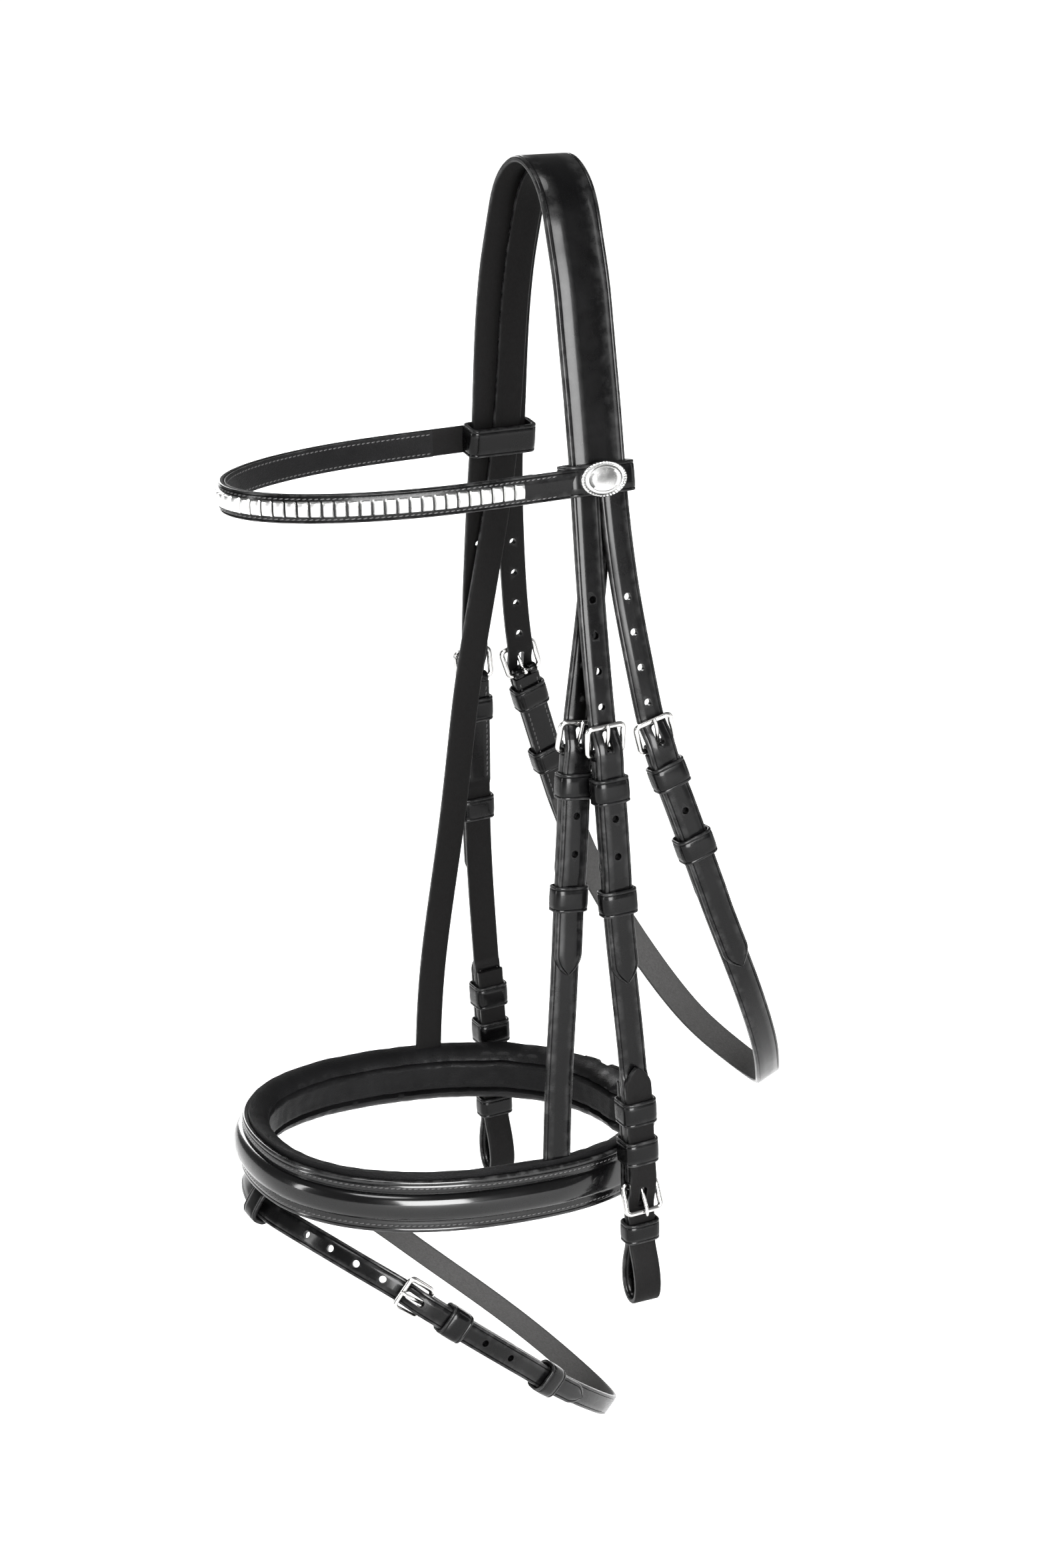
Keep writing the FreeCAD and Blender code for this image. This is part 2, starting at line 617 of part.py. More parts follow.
def make_browband():
    """Browband with a loop round each leg of the headpiece, its lining, clinchers and an oval plate."""
    spot, along, across, outward = leg_half.at(leg_half.distance_at(LOOP_Z))
    slip_spot = slip_half.at(slip_half.distance_at(LOOP_Z))[0]
    centre = V(spot.x, LOOP_CENTRE_Y, LOOP_Z)
    depth = (spot - slip_spot).dot(outward)
    low = -depth - SLIP_THICK / 2
    high = HEAD_THICK / 2
    sleeve = keeper(HEAD_WIDTH, low, high, LOOP_WALL, LOOP_HEIGHT, LOOP_CLEAR)
    loop = place(sleeve, centre, along * -1, across, outward)
    wall = high + LOOP_CLEAR + LOOP_WALL
    strap = band(brow_route, BROW_INSET, brow_route.length - BROW_INSET, BROW_HEIGHT, BROW_THICK)
    add("browband", strap.fuse([loop, mirrored(loop)]).removeSplitter())
    inside = -(BROW_THICK / 2 + BROW_LINING / 2 + 0.05)
    end = brow_route.length - LINING_MARGIN
    lining = band(brow_route, LINING_MARGIN, end, BROW_HEIGHT - 1, BROW_LINING, lambda d: inside)
    add("browband_lining", lining)
    w, h, t = CLINCHER_SIZE
    count = int((end - LINING_MARGIN - 8) / CLINCHER_PITCH)
    clincher = Part.makeBox(h, w, t, V(-h / 2, -w / 2, 0))
    top_edges = [e for e in clincher.Edges if e.CenterOfMass.z > t - 0.01]
    clincher = clincher.makeFillet(0.7, top_edges)
    first = (brow_route.length - (count - 1) * CLINCHER_PITCH) / 2
    rows = [on_route(clincher, brow_route, first + i * CLINCHER_PITCH, BROW_THICK / 2) for i in range(count)]
    add("browband_clinchers", *rows)
    disc = Part.makeCylinder(1.0, PLATE_THICK, V(0, 0, 0), Z_AXIS)
    disc = disc.makeFillet(0.05, [e for e in disc.Edges if e.CenterOfMass.z > PLATE_THICK - 0.01])
    stretch = FreeCAD.Matrix(PLATE_RADII[0], 0, 0, 0, 0, PLATE_RADII[1], 0, 0, 0, 0, 1, 0, 0, 0, 0, 1)
    plate = disc.transformGeometry(stretch)
    add("browband_plate", place(plate, centre + outward * wall, along * -1, across, outward))


def nose_profile(distance):
    """Outer leather of the noseband with its raised roll, flat at both ends."""
    half = NOSE_HEIGHT / 2
    flat = NOSE_THICK / 2
    end = min(distance - 150, nose_route.length - 62 - distance)
    rise = NOSE_ROLL_RISE * max(0.0, min(1.0, end / 40.0))
    roll = NOSE_ROLL_WIDTH / 2
    return [(-half, -flat), (half, -flat), (half, flat), (roll, flat), (roll * 0.5, flat + 0.02 + rise),
            (-roll * 0.5, flat + 0.02 + rise), (-roll, flat), (-half, flat)]


def pad_profile(_distance):
    """Soft lining with rounded edges."""
    half = PAD_HEIGHT / 2
    near = -PAD_START
    far = -PAD_START - PAD_THICK
    lift = 1.0
    return [(-half + 3 + lift, far), (half - 3 + lift, far), (half + lift, far + 3),
            (half + lift, near - 1.5),
            (half - 3 + lift, near), (-half + 3 + lift, near), (-half + lift, near - 1.5),
            (-half + lift, far + 3)]


def make_noseband():
    """Padded noseband ring, its hangers, jaw strap and flash loop."""
    length = nose_route.length
    leather = profile_band(nose_route, 0, length, nose_profile)
    add("noseband", leather)
    add("noseband_padding", profile_band(nose_route, 4, length - 4, pad_profile))
    # Hangers: the near one has a buckle, the off one is the sliphead's own end
    route = slip_half
    flex = route.distance_at(FLEX_Z) + FLEX_GAP / 2
    end = route.distance_at(-524)
    add("off_hanger", mirrored(band(route, flex, end, STRAP_WIDTH, SLIP_THICK)))
    buckle = route.distance_at(BUCKLE_Z)
    tip = route.distance_at(-406)
    holes = hole_row(route, [-321.5, -341.5])
    add("near_slip_billet", billet(route, flex, tip, buckle, holes, thick=SLIP_THICK))
    add("near_hanger", chape(route, buckle, end))
    frame, tongue = buckle_parts(route, buckle)
    add("hanger_buckle", frame)
    add("hanger_tongue", tongue)
    lift = billet_lift(buckle, tip)
    first = route.distance_at(-306)
    second = route.distance_at(-365.5)
    sleeves = []
    for spot in (first, second):
        sleeves.append(on_route(keeper(STRAP_WIDTH, -PLY_THICK, lift(spot) + STRAP_THICK / 2), route, spot))
    add("hanger_keepers", *sleeves)


def jaw_line():
    """Ring line of the jaw strap: inside the near end, then out over the off end of the noseband."""
    points = []
    for angle in range(138, 235, 3):
        x, y, z = nose_point(math.radians(angle))
        ahead = V(*nose_point(math.radians(angle + 1)))
        along = (ahead - V(x, y, z)).normalize()
        outward = along.cross(V(0, -NOSE_TILT, 1).normalize())
        lift = ramp(angle, [(161, -JAW_INSIDE), (173, 3.4), (181, JAW_OUTSIDE)])
        points.append(tuple(V(x, y, z) + outward * lift))
    return Route(points, (0, -NOSE_TILT, 1))


def make_jaw():
    """Plain strap from the near end of the noseband, round the jaw to a buckle on the off end."""
    route = jaw_line()
    side = V(*nose_point(math.radians(JAW_BUCKLE_DEG)))
    buckle = route.distance_at(side.x, "x")
    tip = buckle + JAW_TIP
    holes = [buckle - OVAL_OFFSET - HOLE_PITCH, buckle + 24]
    strap = billet(route, 0, tip, buckle, holes, JAW_WIDTH, JAW_THICK, JAW_CHAPE)
    add("jaw_strap", strap)
    add("jaw_chape", chape(route, buckle, buckle + JAW_CHAPE, JAW_WIDTH, doubled=JAW_CHAPE))
    frame, tongue = buckle_parts(route, buckle, JAW_WIDTH)
    add("jaw_buckle", frame)
    add("jaw_tongue", tongue)
    lift = billet_lift(buckle, tip, JAW_CHAPE)
    sleeves = []
    for offset in (15, 33):
        top = lift(buckle + offset) + JAW_THICK / 2
        sleeves.append(on_route(keeper(JAW_WIDTH, -PLY_THICK, top, height=10), route, buckle + offset))
    add("jaw_keepers", *sleeves)


def make_flash():
    """Flash strap, its front loop on the noseband, buckle, tongue, keeper and runner."""
    route = flash_route
    lead = Route([(-30, -163.5, -541), (0, -168.5, -541), (30, -163.5, -541)], FLASH_ACROSS).length / 2
    buckle = lead + FLASH_BUCKLE
    tip = lead + FLASH_TIP
    holes = [lead + d for d in FLASH_HOLES]
    strap = billet(route, lead, tip, buckle, holes, FLASH_WIDTH, FLASH_THICK)
    lower = chape(route, buckle, route.length - lead, FLASH_WIDTH, single=FLASH_THICK)
    add("flash_strap", strap.fuse(lower).removeSplitter())
    frame, tongue = buckle_parts(route, buckle, FLASH_WIDTH)
    add("flash_buckle", frame)
    add("flash_tongue", tongue)
    lift = billet_lift(buckle, tip)
    first = lead + FLASH_KEEPERS[0]
    second = lead + FLASH_KEEPERS[1]
    fixed = keeper(FLASH_WIDTH, -PLY_THICK, lift(first) + FLASH_THICK / 2)
    runner = keeper(FLASH_WIDTH, -STRAP_THICK / 2, lift(second) + FLASH_THICK / 2, clear=RUNNER_CLEAR)
    add("flash_keeper", on_route(fixed, route, first))
    add("flash_runner", on_route(runner, route, second))
    # Front loop: a sleeve tilted half-way through the strap's swing, on a tab inside the noseband leather
    turn = math.radians(FLASH_LIFT_DEG / 2)
    across = V(*FLASH_ACROSS).normalize()
    across = V(0, across.y * math.cos(turn) - across.z * math.sin(turn),
               across.y * math.sin(turn) + across.z * math.cos(turn))
    slack = FLASH_WIDTH / 2 * math.sin(turn) + FLASH_THICK / 2 + 0.6
    sleeve = keeper(FLASH_WIDTH + 0.6, -slack, slack, FLASH_LOOP_WALL, FLASH_LOOP_WIDTH, 0.45)
    pivot = V(*FLASH[0])
    loop = place(sleeve, pivot, X_AXIS * -1, across, X_AXIS.cross(across))
    front = nose_point(0)
    inside = front[1] + NOSE_THICK / 2 + 0.4
    tab = Part.makeBox(FLASH_LOOP_WIDTH, FLASH_LOOP_WALL, 14, V(-FLASH_LOOP_WIDTH / 2, inside, pivot.z + 8.2))
    add("flash_loop", loop.fuse(tab).removeSplitter())


def export():
    os.makedirs("parts", exist_ok=True)
    for name, shape in PARTS.items():
        bad = [s for s in shape.Solids if not s.isValid() or s.Volume <= 0]
        print(name, "solids", len(shape.Solids), "volume", round(shape.Volume), "BAD" if bad else "")
        shape.exportStep("parts/" + name + ".step")


make_headpiece()
make_sliphead()
make_cheekpieces()
make_bit_fittings()
make_throatlash()
make_browband()
make_noseband()
make_jaw()
make_flash()
export()
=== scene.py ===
"""Snaffle bridle: detailed leather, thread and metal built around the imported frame.

Lengths in the modelling code are millimetres in the row frame. Meshes are scaled to metres when they are
made. The horse faces -Y, its near (left) side is +X and +Z is up. Straps follow the routes of the frame's
solids.
"""

import math

import bmesh
import bpy
import numpy as np
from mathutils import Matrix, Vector, noise


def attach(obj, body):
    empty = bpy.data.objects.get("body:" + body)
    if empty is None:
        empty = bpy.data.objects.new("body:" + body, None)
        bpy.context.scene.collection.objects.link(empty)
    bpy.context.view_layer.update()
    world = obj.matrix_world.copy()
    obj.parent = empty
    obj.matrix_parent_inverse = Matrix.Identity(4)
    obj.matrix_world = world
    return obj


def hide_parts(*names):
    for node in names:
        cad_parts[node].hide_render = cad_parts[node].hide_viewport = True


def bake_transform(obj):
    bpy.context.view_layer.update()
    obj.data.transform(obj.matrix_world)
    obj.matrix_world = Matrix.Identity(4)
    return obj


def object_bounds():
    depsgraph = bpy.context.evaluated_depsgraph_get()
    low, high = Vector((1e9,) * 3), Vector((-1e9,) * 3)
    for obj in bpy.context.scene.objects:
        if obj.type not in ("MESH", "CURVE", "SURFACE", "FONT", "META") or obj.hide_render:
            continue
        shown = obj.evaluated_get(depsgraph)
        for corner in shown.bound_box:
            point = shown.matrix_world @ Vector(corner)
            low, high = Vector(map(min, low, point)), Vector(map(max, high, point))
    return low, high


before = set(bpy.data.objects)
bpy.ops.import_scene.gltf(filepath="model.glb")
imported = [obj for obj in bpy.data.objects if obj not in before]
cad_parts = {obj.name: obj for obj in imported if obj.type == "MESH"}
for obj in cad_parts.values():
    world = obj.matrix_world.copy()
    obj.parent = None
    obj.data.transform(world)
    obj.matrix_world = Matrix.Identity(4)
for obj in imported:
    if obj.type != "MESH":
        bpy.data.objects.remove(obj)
cad_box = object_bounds()

MM = 0.001

# Leather and its layers
HEAD_WIDTH = 31.0
HEAD_THICK = 3.4
STRAP_WIDTH = 15.5
STRAP_THICK = 3.0
SLIP_THICK = 2.8
TIP_LENGTH = 11.0
CHAPE_LENGTH = 62.0
PLY_THICK = 2.4
LAYER_GAP = 0.3
BILLET_SLACK = 0.3
EDGE_NOTCH = 0.04
PLY_NOTCH = 0.34
EYE_R = 3.3
BODY_SETBACK = 2.4
HOLE_PITCH = 18.3
HOLE_R = 1.9
OVAL_LENGTH = 11.0
OVAL_WIDTH = 4.0
OVAL_OFFSET = 7.0

# Buckles
BAR_R = 1.2
FRAME_R = 1.5
FRAME_CLEAR = 0.6
FRAME_REACH = 15.0
FRAME_RISE = 3.6
BIT_FRAME_RISE = 5.6
FRAME_CORNER = 2.6
TONGUE_R = 1.15

# Keepers
KEEPER_WALL = 1.7
KEEPER_HEIGHT = 13.5
KEEPER_CLEAR = 0.45
RUNNER_CLEAR = 0.75

# Heights, down from the poll
LOOP_Z = -148.5
FLEX_Z = -192.0
BILLET_TOP_Z = -147.5
BUCKLE_Z = -288.0
FIRST_KEEPER_Z = -306.5
SECOND_KEEPER_Z = -366.5
CHEEK_TIP_Z = -411.0
CHEEK_HOLE_Z = -208.5
SPARE_HOLE_Z = (-321.5, -341.5)
SLIP_TIP_Z = -406.0
HANGER_END_Z = -524.0
HANGER_KEEPER_Z = (-306.0, -365.5)
HANGER_FLEX_Z = (-183.0, -201.0)
FLEX_REACH = 9.0
CROWN_END_Z = -150.0
THROAT_KEEPER_Z = (-303.0, -342.5)
THROAT_CHAPE = 84.0
THROAT_TIP_Z = -413.5
THROAT_HOLE_Z = -209.3
THROAT_SPARE_HOLE_Z = (-322.5,)
BIT_BUCKLE_Z = -527.0
BIT_KEEPER_Z = (-484.0, -507.0)
BIT_RUNNER_Z = -555.0
BIT_RUNNER_HEIGHT = 11.5
BIT_RUNNER_HALF = 3.6
BIT_TIP_Z = -458.5
BIT_TAB_Z = -468.0

# Browband
BROW_HEIGHT = 14.5
BROW_THICK = 2.8
BROW_LINING = 1.3
BROW_HALF_WIDTH = 62.5
BROW_STRAIGHT_Y = -60.0
BROW_FRONT = 116.0
BROW_DROOP = 0.03
BROW_INSET = 21.5
LOOP_CENTRE_Y = 1.7
LOOP_HEIGHT = 15.5
LOOP_WALL = 2.8
LOOP_CLEAR = 1.3
LINING_MARGIN = 42.0
CLINCHER_SIZE = (5.5, 8.0, 2.0)
CLINCHER_PITCH = 6.1
PLATE_RADII = (13.0, 9.0)
PLATE_THICK = 2.0

# Noseband, jaw strap and flash strap
NOSE_HALF_WIDTH = 88.0
NOSE_HALF_DEPTH = 113.0
NOSE_CENTRE_Y = -57.0
NOSE_POWER = 2.3
NOSE_CENTRE_Z = -522.5
NOSE_TILT = -0.056
NOSE_HEIGHT = 29.0
NOSE_THICK = 3.0
NOSE_ROLL_WIDTH = 15.0
NOSE_ROLL_RISE = 4.0
PAD_HEIGHT = 33.0
PAD_OUTER = 1.7
PAD_INNER = 14.2
JAW_WIDTH = 20.0
JAW_THICK = 2.6
JAW_INSIDE = 3.4
JAW_OUTSIDE = 6.3
JAW_BUCKLE_DEG = 187.0
JAW_CHAPE = 42.0
JAW_TIP = 54.0
JAW_KEEPERS = (15, 33)
JAW_KEEPER_HEIGHT = 10
FLASH_WIDTH = 12.5
FLASH_THICK = 2.5
FLASH_LIFT_DEG = 15.0
FLASH_BUCKLE = 118.0
FLASH_TIP = 252.0
FLASH_HOLES = (44.0, 60.0, 76.0, 92.0, 158.0, 178.0)
FLASH_KEEPERS = (137.0, 216.0)
FLASH_LOOP_WALL = 2.2
FLASH_LOOP_WIDTH = 14.0
FLASH_TAB_HEIGHTS = (8.2, 15, 22.2)

# Sewing
STITCH_PITCH = 3.1
STITCH_SLANT = 0.16
BAND_PITCH = 2.9
NOSE_PITCH = 3.0
SEAM_INSET = 2.3
SEAM_PROUD = 0.05
BROW_SEAM_INSET = 2.1
NOSE_SEAM_INSET = 4.0

X_AXIS = np.array([1.0, 0.0, 0.0])


def unit(v):
    return v / np.linalg.norm(v)


def spline_slopes(t, p):
    """Slopes of the smooth cubic through the points. The end slopes are those of cubics through the ends."""
    count = len(t)
    system = np.zeros((count, count))
    right = np.zeros_like(p)
    system[0, 0] = system[-1, -1] = 1.0
    ends = min(4, count)
    right[0] = np.polyfit(t[:ends] - t[0], p[:ends], ends - 1)[-2]
    right[-1] = np.polyfit(t[-ends:] - t[-1], p[-ends:], ends - 1)[-2]
    for i in range(1, count - 1):
        before = t[i] - t[i - 1]
        after = t[i + 1] - t[i]
        system[i, i - 1 : i + 2] = after, 2 * (before + after), before
        right[i] = 3 * (after * (p[i] - p[i - 1]) / before + before * (p[i + 1] - p[i]) / after)
    return np.linalg.solve(system, right)


class Route:
    """A strap's middle line, with the direction across the strap."""

    def __init__(self, points, across):
        p = np.array(points, float)
        t = np.concatenate([[0.0], np.cumsum(np.linalg.norm(np.diff(p, axis=0), axis=1))])
        m = spline_slopes(t, p)
        places = []
        slopes = []
        for i in range(len(p) - 1):
            h = t[i + 1] - t[i]
            u = np.linspace(0, 1, 33)[: None if i == len(p) - 2 else -1, None]
            places.append(
                (2 * u**3 - 3 * u**2 + 1) * p[i]
                + (u**3 - 2 * u**2 + u) * h * m[i]
                + (3 * u**2 - 2 * u**3) * p[i + 1]
                + (u**3 - u**2) * h * m[i + 1]
            )
            slopes.append(
                (6 * u**2 - 6 * u) * (p[i] - p[i + 1]) / h
                + (3 * u**2 - 4 * u + 1) * m[i]
                + (3 * u**2 - 2 * u) * m[i + 1]
            )
        self.places = np.concatenate(places)
        self.slopes = np.concatenate(slopes)
        steps = np.linalg.norm(np.diff(self.places, axis=0), axis=1)
        self.marks = np.concatenate([[0.0], np.cumsum(steps)])
        self.length = self.marks[-1]
        self.hint = np.array(across, float)

    def at(self, distance):
        """Point, along, across and outward at a distance from the start."""
        clamped = min(max(distance, 0.0), self.length)
        point = np.array([np.interp(clamped, self.marks, self.places[:, k]) for k in range(3)])
        along = unit(np.array([np.interp(clamped, self.marks, self.slopes[:, k]) for k in range(3)]))
        across = unit(self.hint - along * self.hint.dot(along))
        return point + along * (distance - clamped), along, across, np.cross(along, across)

    def distance_at(self, value, axis=2):
        """Last distance at which the coordinate crosses a value."""
        side = self.places[:, axis] - value
        i = int(np.nonzero(np.sign(side[1:]) != np.sign(side[:-1]))[0][-1])
        f = side[i] / (side[i] - side[i + 1])
        return self.marks[i] + f * (self.marks[i + 1] - self.marks[i])


def ramp(distance, stops):
    """Smooth value at a distance, from a list of (distance, value) stops."""
    if distance <= stops[0][0]:
        return stops[0][1]
    for (d0, v0), (d1, v1) in zip(stops, stops[1:]):
        if distance <= d1:
            t = (distance - d0) / (d1 - d0)
            return v0 + (v1 - v0) * t * t * (3 - 2 * t)
    return stops[-1][1]


def both_sides(points):
    return [(-x, y, z) for x, y, z in reversed(points[1:])] + points


LEG = [(0, 0, 4.8), (14, 0, 0.6), (25.3, 0, -9.5), (34.5, 0, -30), (41.5, 0, -50), (47.5, 0, -76),
       (53.2, 0.8, -110), (57.3, 1.6, -140), (62.8, 2.2, -175), (65.6, 2.6, -193)]
CHEEK = [(57.3, -6.3, -140), (62.8, -6.5, -175), (68, -6.2, -212), (73.5, -5.2, -250), (78, -3.2, -288),
         (81, -1.2, -322), (84.5, 0.8, -367), (88, 4.2, -412), (90.5, 8.6, -460), (91, 12, -510),
         (90.8, 14.2, -560), (90.5, 16.4, -600)]
THROAT = [(57.3, 9.5, -140), (62.8, 11, -178), (67.2, 14.2, -210), (73.6, 19.8, -250), (78, 27.5, -288),
          (81.5, 37, -316), (84.5, 49, -350), (86.3, 60, -380), (85, 77, -420), (75.5, 93, -452),
          (60, 108.5, -481), (40, 122, -503), (19, 133.5, -516), (0, 137.5, -520)]
SLIP = [(0, 4.5, 1.4), (12, 4.5, -2.5), (21.7, 4.5, -11.9), (31, 4.5, -31), (37.8, 4.5, -51),
        (43.8, 4.5, -77), (49.6, 5, -111), (53.6, 4.6, -141), (57, 2, -176), (60, -2.6, -212),
        (62.5, -8.5, -250), (65, -14, -288), (68, -17, -322), (71.5, -21, -367), (76.5, -25.4, -412),
        (80.6, -30, -460), (82.2, -32, -500), (82.2, -32.4, -530)]
FLASH = [(0, -168.5, -541), (30, -163.5, -541), (52, -154, -544.5), (69, -141, -552), (82, -124, -563.5),
         (90, -105.5, -578), (92.5, -84, -596), (90, -62, -615), (83.5, -40, -635), (72, -15, -657),
         (54, 10, -679), (29, 29, -697), (0, 36, -704)]
FLASH_ACROSS = (0, 0.634, 0.773)
THROAT_ACROSS = (0, 0.91, 0.41)

leg_half = Route(LEG, (0, 1, 0))
leg_route = Route(both_sides(LEG), (0, 1, 0))
cheek_route = Route(CHEEK, (0, 1, 0))
throat_half = Route(THROAT, THROAT_ACROSS)
throat_route = Route(THROAT + [(-x, y, z) for x, y, z in reversed(THROAT[:-1])], THROAT_ACROSS)
slip_half = Route(SLIP, (0, 1, 0))
slip_route = Route(both_sides(SLIP), (0, 1, 0))
flash_points = FLASH + [(-x, y, z) for x, y, z in FLASH[-2::-1]]
flash_lead = [(-x, y, z) for x, y, z in FLASH[1:2]]
flash_route = Route(flash_lead + flash_points + FLASH[1:2], FLASH_ACROSS)


def brow_point(angle):
    x = BROW_HALF_WIDTH * math.sin(angle)
    y = BROW_STRAIGHT_Y - BROW_FRONT * math.cos(angle)
    return x, y, LOOP_Z + BROW_DROOP * y


def nose_point(angle):
    """Point of the noseband's ring: 0 is the front, 90 degrees the near side."""
    x = math.copysign(abs(math.sin(angle)) ** (2 / NOSE_POWER), math.sin(angle)) * NOSE_HALF_WIDTH
    y = -math.copysign(abs(math.cos(angle)) ** (2 / NOSE_POWER), math.cos(angle)) * NOSE_HALF_DEPTH
    return x, y + NOSE_CENTRE_Y, NOSE_CENTRE_Z + NOSE_TILT * y


def arc_points(function, start_deg, end_deg, count):
    step = (end_deg - start_deg) / (count - 1)
    return [function(math.radians(start_deg + step * i)) for i in range(count)]


brow_side = [(BROW_HALF_WIDTH + 0.1, y, LOOP_Z + BROW_DROOP * y) for y in (6.0, -16.0, -38.0)]
brow_points = [(-x, y, z) for x, y, z in brow_side] + arc_points(brow_point, -90, 90, 13) + brow_side[::-1]
brow_route = Route(brow_points, (0, 0, 1))
nose_route = Route(arc_points(nose_point, -186, 160, 43), (0, -NOSE_TILT, 1))


# Materials


DYE = (0.0006, 0.0006, 0.00065, 1)
BLACK_FLESH = (0.0019, 0.0018, 0.0018, 1)
RAW_FLESH = (0.023, 0.0227, 0.0224, 1)
BROWN_FLESH = (0.16, 0.075, 0.045, 1)
SOFT_DYE = (0.0016, 0.0016, 0.0017, 1)
THREAD_COLOURS = ((0.004, 0.004, 0.0044, 1), (0.011, 0.0105, 0.0105, 1))
LEATHER_LEVEL = 0.05
GRAIN_DEPTH = 0.00008
SOFT_GRAIN_DEPTH = 0.00045
COAT = 0.12
JAW_COAT = 0.16
NOSE_COAT = 0.40


def scaled_colour(colour, factor, added=0.0):
    return tuple(c * factor + added for c in colour[:3]) + (1,)


def node_tree(name):
    material = bpy.data.materials.new(name)
    material.use_nodes = True
    tree = material.node_tree
    return material, tree, tree.nodes["Principled BSDF"]


class Nodes:
    """Short way to wire a material's nodes."""

    def __init__(self, tree):
        self.tree = tree

    def new(self, kind, inputs=None, **settings):
        node = self.tree.nodes.new(kind)
        for key, value in settings.items():
            setattr(node, key, value)
        for key, value in (inputs or {}).items():
            if isinstance(value, bpy.types.NodeSocket):
                self.tree.links.new(value, node.inputs[key])
            else:
                node.inputs[key].default_value = value
        return node

    def scaled(self, vector, scale):
        return self.new("ShaderNodeVectorMath", {0: vector, 1: scale}, operation="MULTIPLY").outputs[0]

    def noise(self, vector, scale, detail=3.0, rough=0.55):
        inputs = {"Vector": vector, "Scale": scale, "Detail": detail, "Roughness": rough}
        return self.new("ShaderNodeTexNoise", inputs).outputs["Fac"]

    def remap(self, value, low, high, out_low, out_high):
        inputs = {"Value": value, "From Min": low, "From Max": high, "To Min": out_low, "To Max": out_high}
        return self.new("ShaderNodeMapRange", inputs).outputs["Result"]

    def mix(self, factor, a, b):
        return self.new("ShaderNodeMix", {0: factor, 2: a, 3: b}, data_type="FLOAT").outputs[0]

    def mix_colour(self, factor, a, b):
        return self.new("ShaderNodeMix", {0: factor, 6: a, 7: b}, data_type="RGBA").outputs[2]

    def math(self, operation, a, b=0.0):
        return self.new("ShaderNodeMath", {0: a, 1: b}, operation=operation).outputs[0]

    def bump(self, height, strength, distance, normal=None):
        inputs = {"Height": height, "Strength": strength, "Distance": distance}
        if normal is not None:
            inputs["Normal"] = normal
        return self.new("ShaderNodeBump", inputs).outputs["Normal"]


def leather_material(name, colour, low_rough, high_rough, grain, coat, flesh_colour=BLACK_FLESH):
    """Dyed leather: pores and fine wrinkles on the face, fibres on the flesh side, edges lighter partly from
    real rubbing and partly as painted highlight lines.
    """
    material, tree, shader = node_tree(name)
    n = Nodes(tree)
    place = n.new("ShaderNodeAttribute", attribute_name="grain").outputs["Vector"]
    # The wear attribute marks rubbed edges and crease lips, where the colour is lightened as wear and as
    # painted highlight.
    wear_and_highlight = n.new("ShaderNodeAttribute", attribute_name="wear_and_highlight").outputs["Fac"]
    flesh = n.new("ShaderNodeAttribute", attribute_name="flesh").outputs["Fac"]
    mottle = n.noise(place, 0.035, 3.0)
    cloud = n.noise(place, 0.16, 4.0)
    pebble = n.new("ShaderNodeTexVoronoi", {"Vector": place, "Scale": 1.25}).outputs["Distance"]
    pores = n.noise(place, 2.6, 4.0, 0.6)
    creases = n.noise(n.scaled(place, (1.0, 0.22, 1.0)), 0.9, 5.0, 0.62)
    fibres = n.noise(n.scaled(place, (1.0, 0.35, 1.0)), 2.2, 6.0, 0.7)
    patch = n.mix_colour(n.remap(mottle, 0.35, 0.7, 0, 1), colour, scaled_colour(colour, 1.7))
    # Lighter colour on the edges and crease lips: partly real rubbed wear, partly painted highlight standing
    # in for the glint on the rounded edges.
    rubbed_and_highlight = n.math("MULTIPLY", wear_and_highlight, n.remap(cloud, 0.45, 0.75, 0.05, 0.5))
    face = n.mix_colour(rubbed_and_highlight, patch, scaled_colour(colour, 3.0, 0.045))
    nap = n.mix_colour(n.remap(fibres, 0.35, 0.7, 0, 1), flesh_colour, scaled_colour(flesh_colour, 0.6))
    tree.links.new(n.mix_colour(flesh, face, nap), shader.inputs["Base Color"])
    gloss = n.remap(n.math("ADD", mottle, n.math("MULTIPLY", cloud, 0.6)), 0.55, 1.05, low_rough, high_rough)
    tree.links.new(n.mix(flesh, gloss, n.remap(fibres, 0.3, 0.7, 0.5, 0.68)), shader.inputs["Roughness"])
    face_height = n.math("ADD", n.math("MULTIPLY", pebble, 0.5), n.math("MULTIPLY", pores, 0.5))
    face_height = n.math("ADD", face_height, n.math("MULTIPLY", creases, 0.6))
    height = n.mix(flesh, face_height, n.math("MULTIPLY", fibres, 2.2))
    tree.links.new(n.bump(height, 0.5, grain), shader.inputs["Normal"])
    shader.inputs["Specular IOR Level"].default_value = LEATHER_LEVEL
    tree.links.new(n.mix(flesh, coat, 0.0), shader.inputs["Coat Weight"])
    shader.inputs["Coat Roughness"].default_value = 0.12
    return material


def thread_material():
    material, tree, shader = node_tree("waxed_thread")
    n = Nodes(tree)
    place = n.new("ShaderNodeAttribute", attribute_name="grain").outputs["Vector"]
    ply = n.new("ShaderNodeTexWave", {"Vector": place, "Scale": 1.6, "Distortion": 1.2}).outputs["Fac"]
    fuzz = n.noise(place, 3.0, 4.0)
    tree.links.new(n.mix_colour(fuzz, *THREAD_COLOURS), shader.inputs["Base Color"])
    tree.links.new(n.remap(fuzz, 0.3, 0.7, 0.45, 0.65), shader.inputs["Roughness"])
    tree.links.new(n.bump(n.math("ADD", ply, fuzz), 0.5, 0.00012), shader.inputs["Normal"])
    return material


